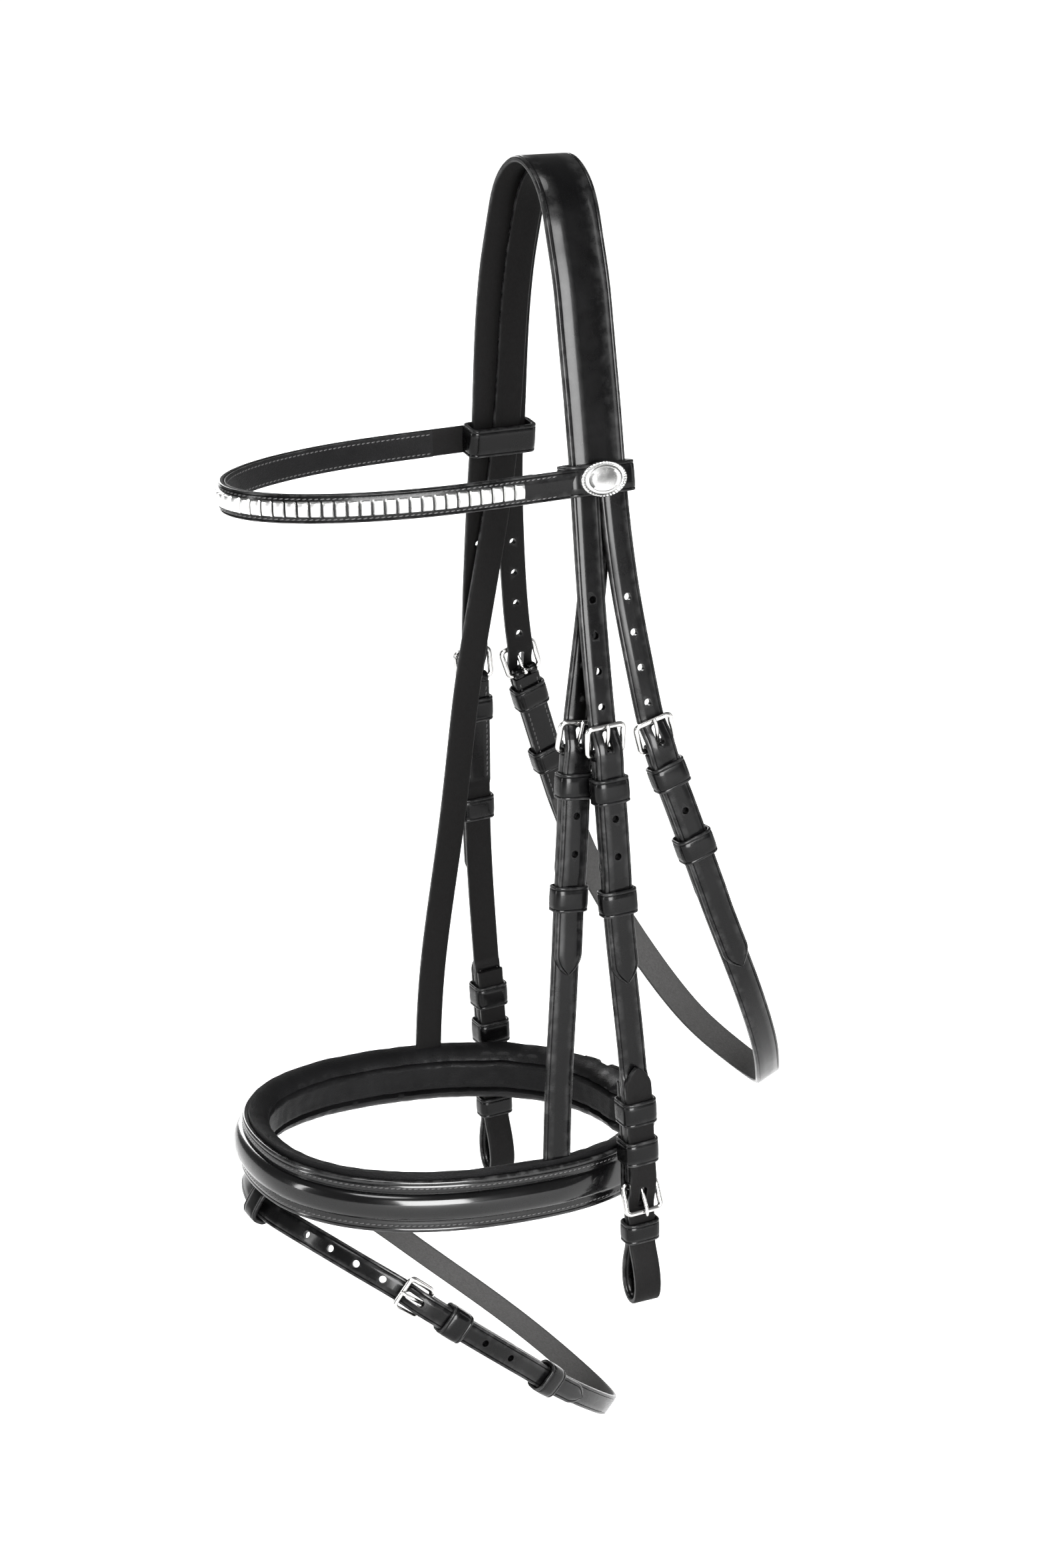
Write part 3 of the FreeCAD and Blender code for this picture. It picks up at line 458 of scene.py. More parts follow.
def metal_material(name, colour, low_rough, high_rough, brushed):
    """Polished metal with faint scratches and smears."""
    material, tree, shader = node_tree(name)
    n = Nodes(tree)
    place = n.new("ShaderNodeAttribute", attribute_name="grain").outputs["Vector"]
    smear = n.noise(place, 0.22, 4.0)
    lines = n.noise(n.scaled(place, brushed), 2.4, 5.0, 0.65)
    dull = scaled_colour(colour, 0.82)
    tree.links.new(n.mix_colour(n.remap(smear, 0.35, 0.75, 0, 1), colour, dull), shader.inputs["Base Color"])
    both = n.math("ADD", smear, n.math("MULTIPLY", lines, 0.5))
    tree.links.new(n.remap(both, 0.45, 1.0, low_rough, high_rough), shader.inputs["Roughness"])
    tree.links.new(n.bump(lines, 0.25, 0.00003), shader.inputs["Normal"])
    shader.inputs["Metallic"].default_value = 1.0
    return material


BLACK = leather_material("black_bridle_leather", DYE, 0.22, 0.36, GRAIN_DEPTH, COAT)
RAW = leather_material("raw_backed_leather", DYE, 0.22, 0.36, GRAIN_DEPTH, COAT, RAW_FLESH)
GLOSS = leather_material("noseband_leather", DYE, 0.22, 0.32, GRAIN_DEPTH, NOSE_COAT)
PLAIN = leather_material("jaw_strap_leather", DYE, 0.22, 0.36, GRAIN_DEPTH, JAW_COAT, BROWN_FLESH)
SOFT = leather_material("soft_lining_leather", SOFT_DYE, 0.34, 0.5, SOFT_GRAIN_DEPTH, 0.02)
THREAD = thread_material()
STEEL = metal_material("polished_steel", (0.38, 0.376, 0.368, 1), 0.12, 0.28, (1.0, 0.3, 1.0))
BRIGHT = metal_material("bright_clincher_metal", (0.58, 0.58, 0.576, 1), 0.24, 0.38, (0.25, 1.0, 1.0))
PLATED = metal_material("plated_oval", (0.34, 0.34, 0.336, 1), 0.16, 0.30, (0.4, 1.0, 1.0))


# Mesh building


class Piece:
    """Vertices (mm), faces and surface values of one piece before it becomes an object."""

    def __init__(self):
        self.chunks = []
        self.faces = []
        self.count = 0

    def add(self, points, faces, grain=None, wear_and_highlight=None, flesh=None):
        points = np.asarray(points, float).reshape(-1, 3)
        size = len(points)
        grain = points if grain is None else np.asarray(grain, float).reshape(-1, 3)
        wear_and_highlight, flesh = [np.zeros(size) if v is None else np.asarray(v, float) for v in (wear_and_highlight, flesh)]
        self.chunks.append((points, grain, wear_and_highlight, flesh))
        self.faces += [tuple(i + self.count for i in face) for face in faces]
        self.count += size
        return self

    def join(self, other):
        self.chunks += other.chunks
        self.faces += [tuple(i + self.count for i in face) for face in other.faces]
        self.count += other.count
        return self

    def shaped(self, move):
        """A copy with its points moved. Its grain stays with it."""
        out = Piece().join(self)
        out.chunks = [(move(points), *values) for points, *values in self.chunks]
        return out

    def mirrored(self):
        """The same piece on the off side."""
        flipped = self.shaped(lambda points: points * np.array([-1, 1, 1]))
        shift = np.array([0.0, 0.0, 61.0])
        flipped.chunks = [(points, grain + shift, *rest) for points, grain, *rest in flipped.chunks]
        flipped.faces = [face[::-1] for face in self.faces]
        return flipped

    def build(self, name, material, sharp=math.radians(50)):
        mesh = bpy.data.meshes.new(name)
        points, grain, wear_and_highlight, flesh = [np.concatenate(values) for values in zip(*self.chunks)]
        mesh.from_pydata((points * MM).tolist(), [], self.faces)
        # The wear attribute carries rubbed wear and painted highlight for the leather colour.
        for label, kind, key, values in (
            ("grain", "FLOAT_VECTOR", "vector", grain),
            ("wear_and_highlight", "FLOAT", "value", wear_and_highlight),
            ("flesh", "FLOAT", "value", flesh),
        ):
            layer = mesh.attributes.new(label, kind, "POINT")
            layer.data.foreach_set(key, values.astype(np.float32).ravel())
        mesh.polygons.foreach_set("use_smooth", [True] * len(mesh.polygons))
        mesh.set_sharp_from_angle(angle=sharp)
        mesh.materials.append(material)
        mesh.update()
        made = bpy.data.objects.new(name, mesh)
        bpy.context.scene.collection.objects.link(made)
        return made


def ring_faces(count, size, closed=False, caps=True):
    """Quads between successive rings of points, with an end face on each open end."""
    faces = []
    for i in range(count if closed else count - 1):
        j = (i + 1) % count
        for k in range(size):
            l = (k + 1) % size
            faces.append((i * size + k, i * size + l, j * size + l, j * size + k))
    if caps and not closed:
        faces.append(tuple(range(size))[::-1])
        faces.append(tuple((count - 1) * size + k for k in range(size)))
    return faces


def strap_profile(width, thick, crease, notch):
    """Section of a strap (across, outward, wear and painted highlight, flesh): round edges and a creased line
    by each edge.
    """
    half = width / 2
    top = thick / 2
    r = min(0.95, thick * 0.32, half * 0.4)
    c = min(crease, half * 0.6)
    lip = min(0.42, half * 0.12)
    crown = 0.16
    # Third value: rubbed wear and painted highlight, full on the round edges and half on the lips beside the
    # crease.
    edge = [(half, -0.25, 1.0, 0.0), (half - notch, 0.0, 0.4, 0.0), (half, 0.25, 1.0, 0.0)]
    edge += [(half - r * (1 - math.cos(a)), top - r * (1 - math.sin(a)), 1.0, 0.0) for a in (0.1, 0.55, 1.05)]
    edge += [(half - r, top, 0.8, 0.0), (half - c + lip, top + 0.06, 0.5, 0.0),
             (half - c, top - 0.36, 0.0, 0.0), (half - c - lip, top + 0.10, 0.5, 0.0),
             (half * 0.3, top + crown * 0.8, 0.0, 0.0)]
    face = edge + [(0.0, top + crown, 0.0, 0.0)] + [(-a, n, w, f) for a, n, w, f in edge[::-1]]
    low = 0.45 * r
    under = [(half, -top + low * 1.6, 1.0, 0.2), (half - low, -top + low * 0.3, 0.6, 0.8),
             (half - low * 2.4, -top, 0.1, 1.0), (half * 0.4, -top, 0.0, 1.0)]
    return face + [(-a, n, w, f) for a, n, w, f in under] + under[::-1]


def skin(rows, faces):
    """A piece from rows of (point, grain, wear, flesh)."""
    points, grain, wear_and_highlight, flesh = zip(*rows)
    return Piece().add(points, faces, grain, wear_and_highlight, flesh)


def in_axes(points, origin, x_axis, y_axis, z_axis):
    """Points given in their own axes, moved to an origin with other axes."""
    points = np.asarray(points, float)
    return origin + points[:, :1] * x_axis + points[:, 1:2] * y_axis + points[:, 2:] * z_axis


def spots_between(start, end, step, extra=()):
    """Distances at even steps, with the extra ones that are not too close to another."""
    count = max(2, math.ceil(abs(end - start) / step))
    spots = [start + (end - start) * i / count for i in range(count + 1)]
    spots += [e for e in extra if start < e < end]
    spots.sort()
    kept = [spots[0]]
    for spot in spots[1:-1]:
        if spot - kept[-1] > 0.25 and spots[-1] - spot > 0.2:
            kept.append(spot)
    return kept + [spots[-1]]


def tip_width(tip, width):
    """Width of a strap that ends in a rounded point."""

    def wide(distance):
        left = max(0.0, min(1.0, (tip - distance) / TIP_LENGTH))
        return max(1.0, width * (1 - (1 - left) ** 1.7) ** 0.7)

    return wide


def tip_spots(tip):
    """Distances of the rings that give a tip its shape."""
    left = (1.0, 0.87, 0.75, 0.62, 0.5, 0.4, 0.3, 0.22, 0.15, 0.09, 0.05, 0.02)
    return [tip - TIP_LENGTH * f for f in left]


def strap(route, start, end, width, thick, lift=None, extra=(), step=3.2, crease=1.7, plies=None, seed=0.0):
    """Strap along a route. Its width, thick and lift may be functions of the distance, like plies."""
    height = lift or (lambda d: 0.0)
    wide = width if callable(width) else (lambda d: width)
    deep = thick if callable(thick) else (lambda d: thick)
    doubled = plies or (lambda d: False)
    spots = spots_between(start, end, step, extra)
    rows = []
    for d in spots:
        point, along, across, outward = route.at(d)
        tilted = unit(outward - along * (height(d + 0.5) - height(d - 0.5)))
        centre = point + outward * height(d)
        profile = strap_profile(wide(d), deep(d), crease, PLY_NOTCH if doubled(d) else EDGE_NOTCH)
        for a, n, worn_and_highlight, nap in profile:
            place = centre + across * a + tilted * n
            rows.append((place, (a + seed, d, n + seed * 0.37), worn_and_highlight, 0.0 if doubled(d) else nap))
    return skin(rows, ring_faces(len(spots), len(profile)))


def placed(points, route, distance, lift=0.0, reverse=False):
    """Moves points from their own axes (x across, y up the route, z outward) to a spot on a route."""
    point, along, across, outward = route.at(distance)
    side, up = (-across, along) if reverse else (across, -along)
    return in_axes(points, point + outward * lift, side, up, outward)


def turned(piece, origin, x_axis, y_axis, z_axis):
    """A piece from its own axes to an origin with other axes."""
    return piece.shaped(lambda points: in_axes(points, origin, x_axis, y_axis, z_axis))


def rounded_path(corners, radius, arc=5):
    """Closed path through the corners with each one rounded, as an array of points."""
    points = [np.array(c, float) for c in corners]
    path = []
    for i, corner in enumerate(points):
        before = unit(points[i - 1] - corner)
        after = unit(points[(i + 1) % len(points)] - corner)
        half = math.acos(max(-1.0, min(1.0, before.dot(after)))) / 2
        back = radius / math.tan(half)
        centre = corner + unit(before + after) * (radius / math.sin(half))
        first = corner + before * back - centre
        last = corner + after * back - centre
        sweep = math.acos(max(-1.0, min(1.0, unit(first).dot(unit(last)))))
        for k in range(arc + 1):
            t = k / arc
            turn = math.sin((1 - t) * sweep) * first + math.sin(t * sweep) * last
            path.append(centre + turn / math.sin(sweep))
    return np.array(path)


def densify(path, step):
    """Adds points along the straight runs of a closed path."""
    out = []
    for i, point in enumerate(path):
        ahead = path[(i + 1) % len(path)]
        count = max(1, int(np.linalg.norm(ahead - point) / step))
        out += [point + (ahead - point) * k / count for k in range(count)]
    return np.array(out)


def tube(path, radii, closed=False, sides=14, up=(0, 0, 1), flat=1.0):
    """Round or oval bar along a path."""
    path = np.asarray(path, float)
    count = len(path)
    rows = []
    run = 0.0
    hint = np.array(up, float)
    for i in range(count):
        ahead = path[(i + 1) % count] if closed or i < count - 1 else path[i]
        behind = path[i - 1] if closed or i > 0 else path[i]
        along = unit(ahead - behind)
        side = unit(np.cross(along, hint))
        normal = np.cross(side, along)
        run += np.linalg.norm(path[i] - path[i - 1]) if i else 0.0
        for k in range(sides):
            a = 2 * math.pi * k / sides
            place = path[i] + side * (radii[i] * math.cos(a)) + normal * (radii[i] * flat * math.sin(a))
            rows.append((place, (a * radii[i], run, 0.0), 0.0, 0.0))
    return skin(rows, ring_faces(count, sides, closed))


def keeper_piece(width, low, high, wall=KEEPER_WALL, height=KEEPER_HEIGHT, clear=KEEPER_CLEAR, seed=0.0):
    """Leather sleeve in its own axes: a strip with creased edges, wrapped round a stack of straps."""
    half = width / 2 + clear + wall / 2
    top = high + clear + wall / 2
    bottom = low - clear - wall / 2
    radius = min(3.0, (top - bottom) * 0.4)
    corners = [(-half, 0, bottom), (half, 0, bottom), (half, 0, top), (-half, 0, top)]
    path = densify(rounded_path(corners, radius), 1.6)
    path[:, 2] += 0.4 * (path[:, 2] > top - 0.01) * (1 - (path[:, 0] / half) ** 2)
    h = height / 2
    w = wall / 2
    # Third value: rubbed wear and painted highlight on the sleeve's edges; fourth: flesh side.
    section = [(-w, -h + 0.4, 0.2, 1.0), (-w, 0.0, 0.0, 1.0), (-w, h - 0.4, 0.2, 1.0),
               (-w + 0.35, h, 1.0, 0.3), (w - 0.55, h, 1.0, 0.0), (w - 0.14, h - 0.2, 1.0, 0.0),
               (w, h - 0.62, 0.8, 0.0), (w, h - 1.25, 0.2, 0.0), (w - 0.26, h - 1.65, 0.0, 0.0),
               (w, h - 2.1, 0.2, 0.0), (w + 0.12, h * 0.4, 0.0, 0.0), (w + 0.14, 0.0, 0.0, 0.0)]
    section += [(n, -y, worn_and_highlight, nap) for n, y, worn_and_highlight, nap in section[3:-1]][::-1]
    middle = np.array([0, 0, (top + bottom) / 2])
    rows = []
    run = 0.0
    for i, point in enumerate(path):
        along = unit(path[(i + 1) % len(path)] - path[i - 1])
        normal = np.array([along[2], 0, -along[0]])
        if normal.dot(point - middle) < 0:
            normal = -normal
        run += np.linalg.norm(point - path[i - 1]) if i else 0.0
        for n, y, worn_and_highlight, nap in section:
            place = point + normal * n + np.array([0, y, 0])
            rows.append((place, (run + seed, y + seed * 1.7, n), worn_and_highlight, nap))
    return skin(rows, ring_faces(len(path), len(section), True))


def moved(piece, route, distance, lift=0.0, reverse=False):
    """A piece from its own axes to a spot on a route."""
    return piece.shaped(lambda points: placed(points, route, distance, lift, reverse))


def buckle_piece(width, rise=FRAME_RISE):
    """Buckle frame: hinge bar on the x axis, far bar towards +y and proud in +z."""
    inside = width / 2 + FRAME_CLEAR
    hinge = inside + FRAME_R
    far = inside + FRAME_R + 0.5
    corners = [(-hinge, 0, 0), (hinge, 0, 0), (far, FRAME_REACH, rise), (-far, FRAME_REACH, rise)]
    path = densify(rounded_path(corners, FRAME_CORNER, 7), 1.6)
    tilt = unit(np.array([0, -rise, FRAME_REACH]))
    radii = []
    for x, y, _ in path:
        thin = y < 0.8 and abs(x) < hinge - FRAME_CORNER + 0.2
        radii.append(BAR_R if thin else FRAME_R + 0.12 * math.sin(math.pi * min(1.0, y / FRAME_REACH)))
    return tube(path, radii, True, 16, tilt, 0.93)


def tongue_piece(rise=FRAME_RISE):
    """Tongue: wire rolled round the hinge bar, arched to its flattened point over the far bar."""
    rest = rise + FRAME_R + TONGUE_R + 0.35
    knots = [(0, 1.2, 1.75), (0, 4.4, rest * 0.42), (0, 9.3, rest * 0.8), (0, FRAME_REACH - 1.0, rest + 0.05),
             (0, FRAME_REACH + 1.9, rest + 0.15)]
    line = Route(knots, (1, 0, 0))
    marks = np.linspace(0, line.length, 26)
    path = [line.at(d)[0] for d in marks]
    radii = []
    for d in marks:
        f = d / line.length
        thin = 1.0 if f < 0.85 else math.sqrt(max(0.02, 1 - ((f - 0.85) / 0.15) ** 2))
        radii.append(TONGUE_R * (1.02 - 0.2 * f) * thin)
    shaft = tube(path, radii, False, 14, (0, -0.3, 1), 0.9)
    around = [(0, 1.86 * math.cos(a), 1.86 * math.sin(a)) for a in np.linspace(0, 2 * math.pi, 25)[:-1]]
    shaft.join(tube(around, [0.58] * 24, True, 12, (1, 0, 0), 2.2))
    return shaft


def eye_piece(width):
    """Leather folded round the hinge bar, on both sides of the tongue."""
    piece = Piece()
    half = width / 2 - 0.9
    for side in (-1, 1):
        section = [(2.2, 1.4), (half, 1.4), (half + 0.1, 1.7), (half + 0.1, EYE_R - 0.5),
                   (half - 0.4, EYE_R - 0.05), (half - 1.6, EYE_R), (2.8, EYE_R), (2.3, EYE_R - 0.15),
                   (2.15, EYE_R - 0.6), (2.15, 1.6)]
        rings = []
        grain = []
        for i in range(28):
            a = 2 * math.pi * i / 28
            for x, r in section:
                rings.append((side * x, r * math.cos(a), r * math.sin(a)))
                grain.append((side * x, r * a, 0.0))
        faces = ring_faces(28, len(section), True)
        if side < 0:
            faces = [face[::-1] for face in faces]
        piece.add(rings, faces, grain)
    return piece


def stitches(route, start, end, shift, lift, pitch, face):
    """Row of sewn stitches, half sunk in the surface that looks out (face 1) or in (face -1)."""
    count = int(abs(end - start) / pitch)
    piece = Piece()
    size = 6
    rings = [(-0.47, 0.45), (-0.34, 0.9), (0.0, 1.0), (0.34, 0.9), (0.47, 0.45)]
    for i in range(count):
        point, along, across, outward = route.at(start + (end - start) * (i + 0.5) / count)
        along = unit(along + across * STITCH_SLANT * face)
        centre = point + across * shift + outward * lift
        points = []
        for t, fat in rings:
            sink = -0.25 * abs(t) ** 2 * 4 * face
            for k in range(size):
                a = 2 * math.pi * k / size
                points.append(centre + along * (t * pitch * 0.86) + across * (0.36 * fat * math.cos(a))
                              + outward * (0.30 * fat * math.sin(a) + sink))
        piece.add(points, ring_faces(len(rings), size), np.array(points) + i * 0.7)
    return piece


def sewn(route, start, end, half, lift, faces=(1,), pitch=STITCH_PITCH):
    """Stitches along both edges of a strap, on one face or on both."""
    thread = Piece()
    for side in (-1, 1):
        for face in faces:
            thread.join(stitches(route, start, end, side * half, face * lift, pitch, face))
    return thread


def hole_cutter(route, distance, lift, radius=HOLE_R, long=0.0, deep=9.0):
    """Punch through a strap: round, or an oval with a straight length in its middle."""
    count = 28
    points = []
    for z in (-deep, deep):
        for k in range(count):
            a = 2 * math.pi * (k + 0.5) / count
            y = radius * math.sin(a) + math.copysign(long / 2, math.sin(a))
            points.append((radius * math.cos(a), y, z))
    faces = [face[::-1] for face in ring_faces(2, count)]
    return Piece().add(placed(points, route, distance, lift), faces)


def cut(target, cutters):
    """Cuts holes in a built piece."""
    tool = Piece()
    for cutter in cutters:
        tool.join(cutter)
    punch = tool.build(target.name + "_punch", BLACK)
    if signed_volume(punch.data) < 0:
        punch.data.flip_normals()
    modifier = target.modifiers.new("punch", "BOOLEAN")
    modifier.operation = "DIFFERENCE"
    modifier.solver = "EXACT"
    modifier.object = punch
    bpy.context.view_layer.update()
    result = bpy.data.meshes.new_from_object(target.evaluated_get(bpy.context.evaluated_depsgraph_get()))
    target.modifiers.clear()
    target.data = result
    bpy.data.objects.remove(punch)


def signed_volume(mesh):
    mesh.calc_loop_triangles()
    co = np.array([v.co for v in mesh.vertices])
    tri = np.array([t.vertices for t in mesh.loop_triangles])
    return float(np.einsum("ij,ij->i", co[tri[:, 0]], np.cross(co[tri[:, 1]], co[tri[:, 2]])).sum()) / 6


def outward_facing(target):
    """Turns every separate shell of a piece so that its faces look out."""
    bpy.context.view_layer.update()
    work = bmesh.new()
    work.from_mesh(target.data)
    bmesh.ops.recalc_face_normals(work, faces=work.faces)
    work.to_mesh(target.data)
    work.free()
    return target


def finish_piece(piece, name, material, nodes, body, cutters=(), blend=None, sharp=50):
    """Builds a piece, cuts its holes, and ties it to a body of the frame; a piece given blend only has its
    place baked into its mesh. The material sets its slot.
    """
    made = outward_facing(piece.build(name, material, math.radians(sharp)))
    if cutters:
        cut(made, cutters)
        made.data.set_sharp_from_angle(angle=math.radians(sharp))
    if blend:
        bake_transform(made)
    else:
        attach(made, body)
    if nodes:
        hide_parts(*nodes)
    return made


def pair(piece, name, material, node, body, cutters=(), blend=None, sharp=50):
    """The near-side piece and its mirror image."""
    mirrored = (piece.mirrored(), [cutter.mirrored() for cutter in cutters])
    for side, (shape, punches) in (("near", (piece, cutters)), ("off", mirrored)):
        ends = blend and (blend[0], blend[1].format(side), *blend[2:])
        nodes = [f"{side}_{node}"] if node else []
        finish_piece(shape, f"{side}_{name}", material, nodes, body.format(side), punches, ends, sharp)


def billet_lift(buckle, tip, doubled=CHAPE_LENGTH):
    """Height of a billet over its route: under the far bar, over the hinge bar, then on the chape."""
    over_eye = EYE_R + LAYER_GAP + STRAP_THICK / 2
    on_chape = PLY_THICK + LAYER_GAP + STRAP_THICK / 2
    on_strap = STRAP_THICK / 2 + LAYER_GAP + STRAP_THICK / 2
    stops = [(buckle - FRAME_REACH - 1.8, 0.0), (buckle - 1.5, over_eye), (buckle + 1.5, over_eye),
             (buckle + 11, on_chape), (buckle + doubled, on_chape), (buckle + doubled + 16, on_strap),
             (tip + 20, on_strap)]
    return lambda distance: ramp(distance, stops)


def billet_spots(buckle, tip):
    return tip_spots(tip) + [buckle + k for k in (-16, -12, -9, -6, -3, 0, 3, 6, 9, 12)]


def billet_cutters(route, buckle, lift, holes):
    cutters = [hole_cutter(route, h, lift(h)) for h in holes]
    oval = buckle - OVAL_OFFSET
    cutters.append(hole_cutter(route, oval, lift(oval), OVAL_WIDTH / 2, OVAL_LENGTH - OVAL_WIDTH))
    return cutters


def doubled_thick(near, far, single):
    """Thickness, ring distances and doubled test of a strap that is doubled before near and after far."""
    stops = [(near, 2 * PLY_THICK), (near + 3, single), (far - 3, single), (far, 2 * PLY_THICK)]
    return (lambda d: ramp(d, stops)), [spot for spot, _ in stops], (lambda d: d < near or d > far)


def chape(route, buckle, end, width=STRAP_WIDTH, doubled=CHAPE_LENGTH, single=STRAP_THICK, far_buckle=None,
          seed=0.0):
    """Strap doubled and sewn round a hinge bar, and round a second one at its other end if there is one."""
    far = end + 9.0
    if far_buckle:
        far = far_buckle - doubled
        end = far_buckle - BODY_SETBACK
    thick, spots, plies = doubled_thick(buckle + doubled, far, single)
    body = strap(route, buckle + BODY_SETBACK, end, width, thick, extra=spots, plies=plies, seed=seed)
    body.join(moved(eye_piece(width), route, buckle))
    rows = [(buckle + 5, min(buckle + doubled, end) - 2)]
    if far_buckle:
        body.join(moved(eye_piece(width), route, far_buckle, reverse=True))
        rows.append((far_buckle - doubled + 2, far_buckle - 5))
    thread = Piece()
    for first, last in rows:
        thread.join(sewn(route, first, last, width / 2 - SEAM_INSET, PLY_THICK + SEAM_PROUD, (-1, 1)))
    return body, thread


def add_buckle(name, route, distance, bodies, width=STRAP_WIDTH, reverse=False, rise=FRAME_RISE, both=False):
    """Frame and tongue of a buckle, on one side or on both."""
    parts = (("frame", "buckle", buckle_piece(width, rise)), ("tongue", "tongue", tongue_piece(rise)))
    for (label, node, piece), body in zip(parts, bodies):
        shape = moved(piece, route, distance, reverse=reverse)
        title = f"{name}_buckle_{label}"
        if both:
            pair(shape, title, STEEL, f"{name}_{node}", body, sharp=60)
        else:
            finish_piece(shape, title, STEEL, [f"{name}_{node}"], body, sharp=60)


def sleeve_stack(route, width, low, spots):
    """Sewn keepers as one piece. spots holds each one's distance, high side, height and seed."""
    sleeves = Piece()
    for distance, high, height, seed in spots:
        sleeves.join(moved(keeper_piece(width, low, high, height=height, seed=seed), route, distance))
    return sleeves


# The bridle


def make_crown():
    middle = leg_route.length / 2
    reach = leg_half.distance_at(CROWN_END_Z)
    crown = strap(leg_route, middle - reach, middle + reach, HEAD_WIDTH, HEAD_THICK, crease=2.3, seed=11)
    finish_piece(crown, "crown_leather", BLACK, ["headpiece"], "headpiece")


def make_billet(name, route, tip_z, doubled, hole_z, body, seed):
    """Cheek or throatlash billet, one leather with its half of the crown."""
    buckle = route.distance_at(BUCKLE_Z)
    tip = route.distance_at(tip_z)
    lift = billet_lift(buckle, tip, doubled)
    top = route.distance_at(BILLET_TOP_Z)
    thick = lambda d: ramp(d, [(top + 30, HEAD_THICK), (top + 70, STRAP_THICK)])
    holes = [route.distance_at(z) for z in hole_z]
    wide = tip_width(tip, STRAP_WIDTH - BILLET_SLACK)
    piece = strap(route, top, tip, wide, thick, lift, billet_spots(buckle, tip), seed=seed)
    flex = cheek_route.at(cheek_route.distance_at(FLEX_Z))[0]
    ends = [(0, float(flex[1] * MM), float((flex[2] + reach) * MM)) for reach in (FLEX_REACH, -FLEX_REACH)]
    pair(piece, name + "_billet_leather", BLACK, name + "_billet", body,
         billet_cutters(route, buckle, lift, holes), ("headpiece", body, *ends))


def hole_row(first_z, spare_z):
    return [first_z - HOLE_PITCH * i for i in range(4)] + list(spare_z)


def make_sliphead():
    """One long strap: the buckled near end, over the poll under the crown, and the off noseband hanger."""
    half = slip_route.length / 2
    buckle = slip_half.distance_at(BUCKLE_Z)
    tip = slip_half.distance_at(SLIP_TIP_Z)
    near_lift = billet_lift(buckle, tip)
    lift = lambda d: near_lift(d - half) if d > half + 60 else 0.0
    holes = [half + slip_half.distance_at(z) for z in SPARE_HOLE_Z]
    start = half - slip_half.distance_at(HANGER_END_Z)
    spots = [half + spot for spot in billet_spots(buckle, tip)]
    wide = tip_width(half + tip, STRAP_WIDTH)
    piece = strap(slip_route, start, half + tip, wide, SLIP_THICK, lift, spots, seed=51)
    finish_piece(piece, "sliphead_leather", BLACK, ["sliphead", "near_slip_billet", "off_hanger"], None,
                 billet_cutters(slip_route, half + buckle, lift, holes),
                 ("headpiece", "noseband", *[(0, 0, z * MM) for z in HANGER_FLEX_Z]))


def make_cheekpieces():
    route = cheek_route
    near = "{}_cheekpiece"
    buckle = route.distance_at(BUCKLE_Z)
    bit_buckle = route.distance_at(BIT_BUCKLE_Z)
    body, thread = chape(route, buckle, bit_buckle, far_buckle=bit_buckle, seed=67)
    pair(body, "cheek_strap_leather", BLACK, "cheek_strap", near)
    pair(thread, "cheek_strap_thread", THREAD, None, near)
    lift = billet_lift(buckle, route.distance_at(CHEEK_TIP_Z))
    first = route.distance_at(FIRST_KEEPER_Z)
    second = route.distance_at(SECOND_KEEPER_Z)
    half = STRAP_THICK / 2
    fixed = keeper_piece(STRAP_WIDTH, -PLY_THICK, lift(first) + half, seed=3)
    runner = keeper_piece(STRAP_WIDTH, -half, lift(second) + half, clear=RUNNER_CLEAR, seed=9)
    pair(moved(fixed, route, first), "cheek_keeper_leather", BLACK, "cheek_keeper", near)
    pair(moved(runner, route, second), "cheek_runner_leather", BLACK, "cheek_runner", "{}_cheek_runner")
    add_buckle("cheek", route, buckle, (near, "{}_cheek_tongue"), both=True)
    add_buckle("bit", route, bit_buckle, (near, "{}_bit_tongue"), reverse=True, rise=BIT_FRAME_RISE,
               both=True)


def bit_route():
    """Middle line of the bit billet: inner tab, round the bit, up the outside to its point."""
    inner = -(PLY_THICK + LAYER_GAP + STRAP_THICK / 2)
    outer = -inner
    over_eye = EYE_R + LAYER_GAP + STRAP_THICK / 2
    spots = [(inner, BIT_TAB_Z), (inner, -484), (inner, -500), (inner - 0.4, -513), (-over_eye, -524),
             (-over_eye, -531), (-3.0, -541), (-2.0, -549), (-2.0, -563), (-4.6, -571), (-6.9, -581),
             (-6.6, -590), (-3.4, -596), (0, -597.2), (3.4, -596), (6.6, -590), (6.9, -581), (4.6, -571),
             (2.0, -563), (2.0, -549), (1.4, -541), (3.0, -534), (over_eye, -526), (over_eye, -520),
             (outer + 0.2, -511), (outer, -500), (outer, -484), (outer, BIT_TIP_Z)]
    points = []
    for n, z in spots:
        point, _, _, outward = cheek_route.at(cheek_route.distance_at(z))
        points.append(tuple(point + outward * n))
    return Route(points, (0, 1, 0))


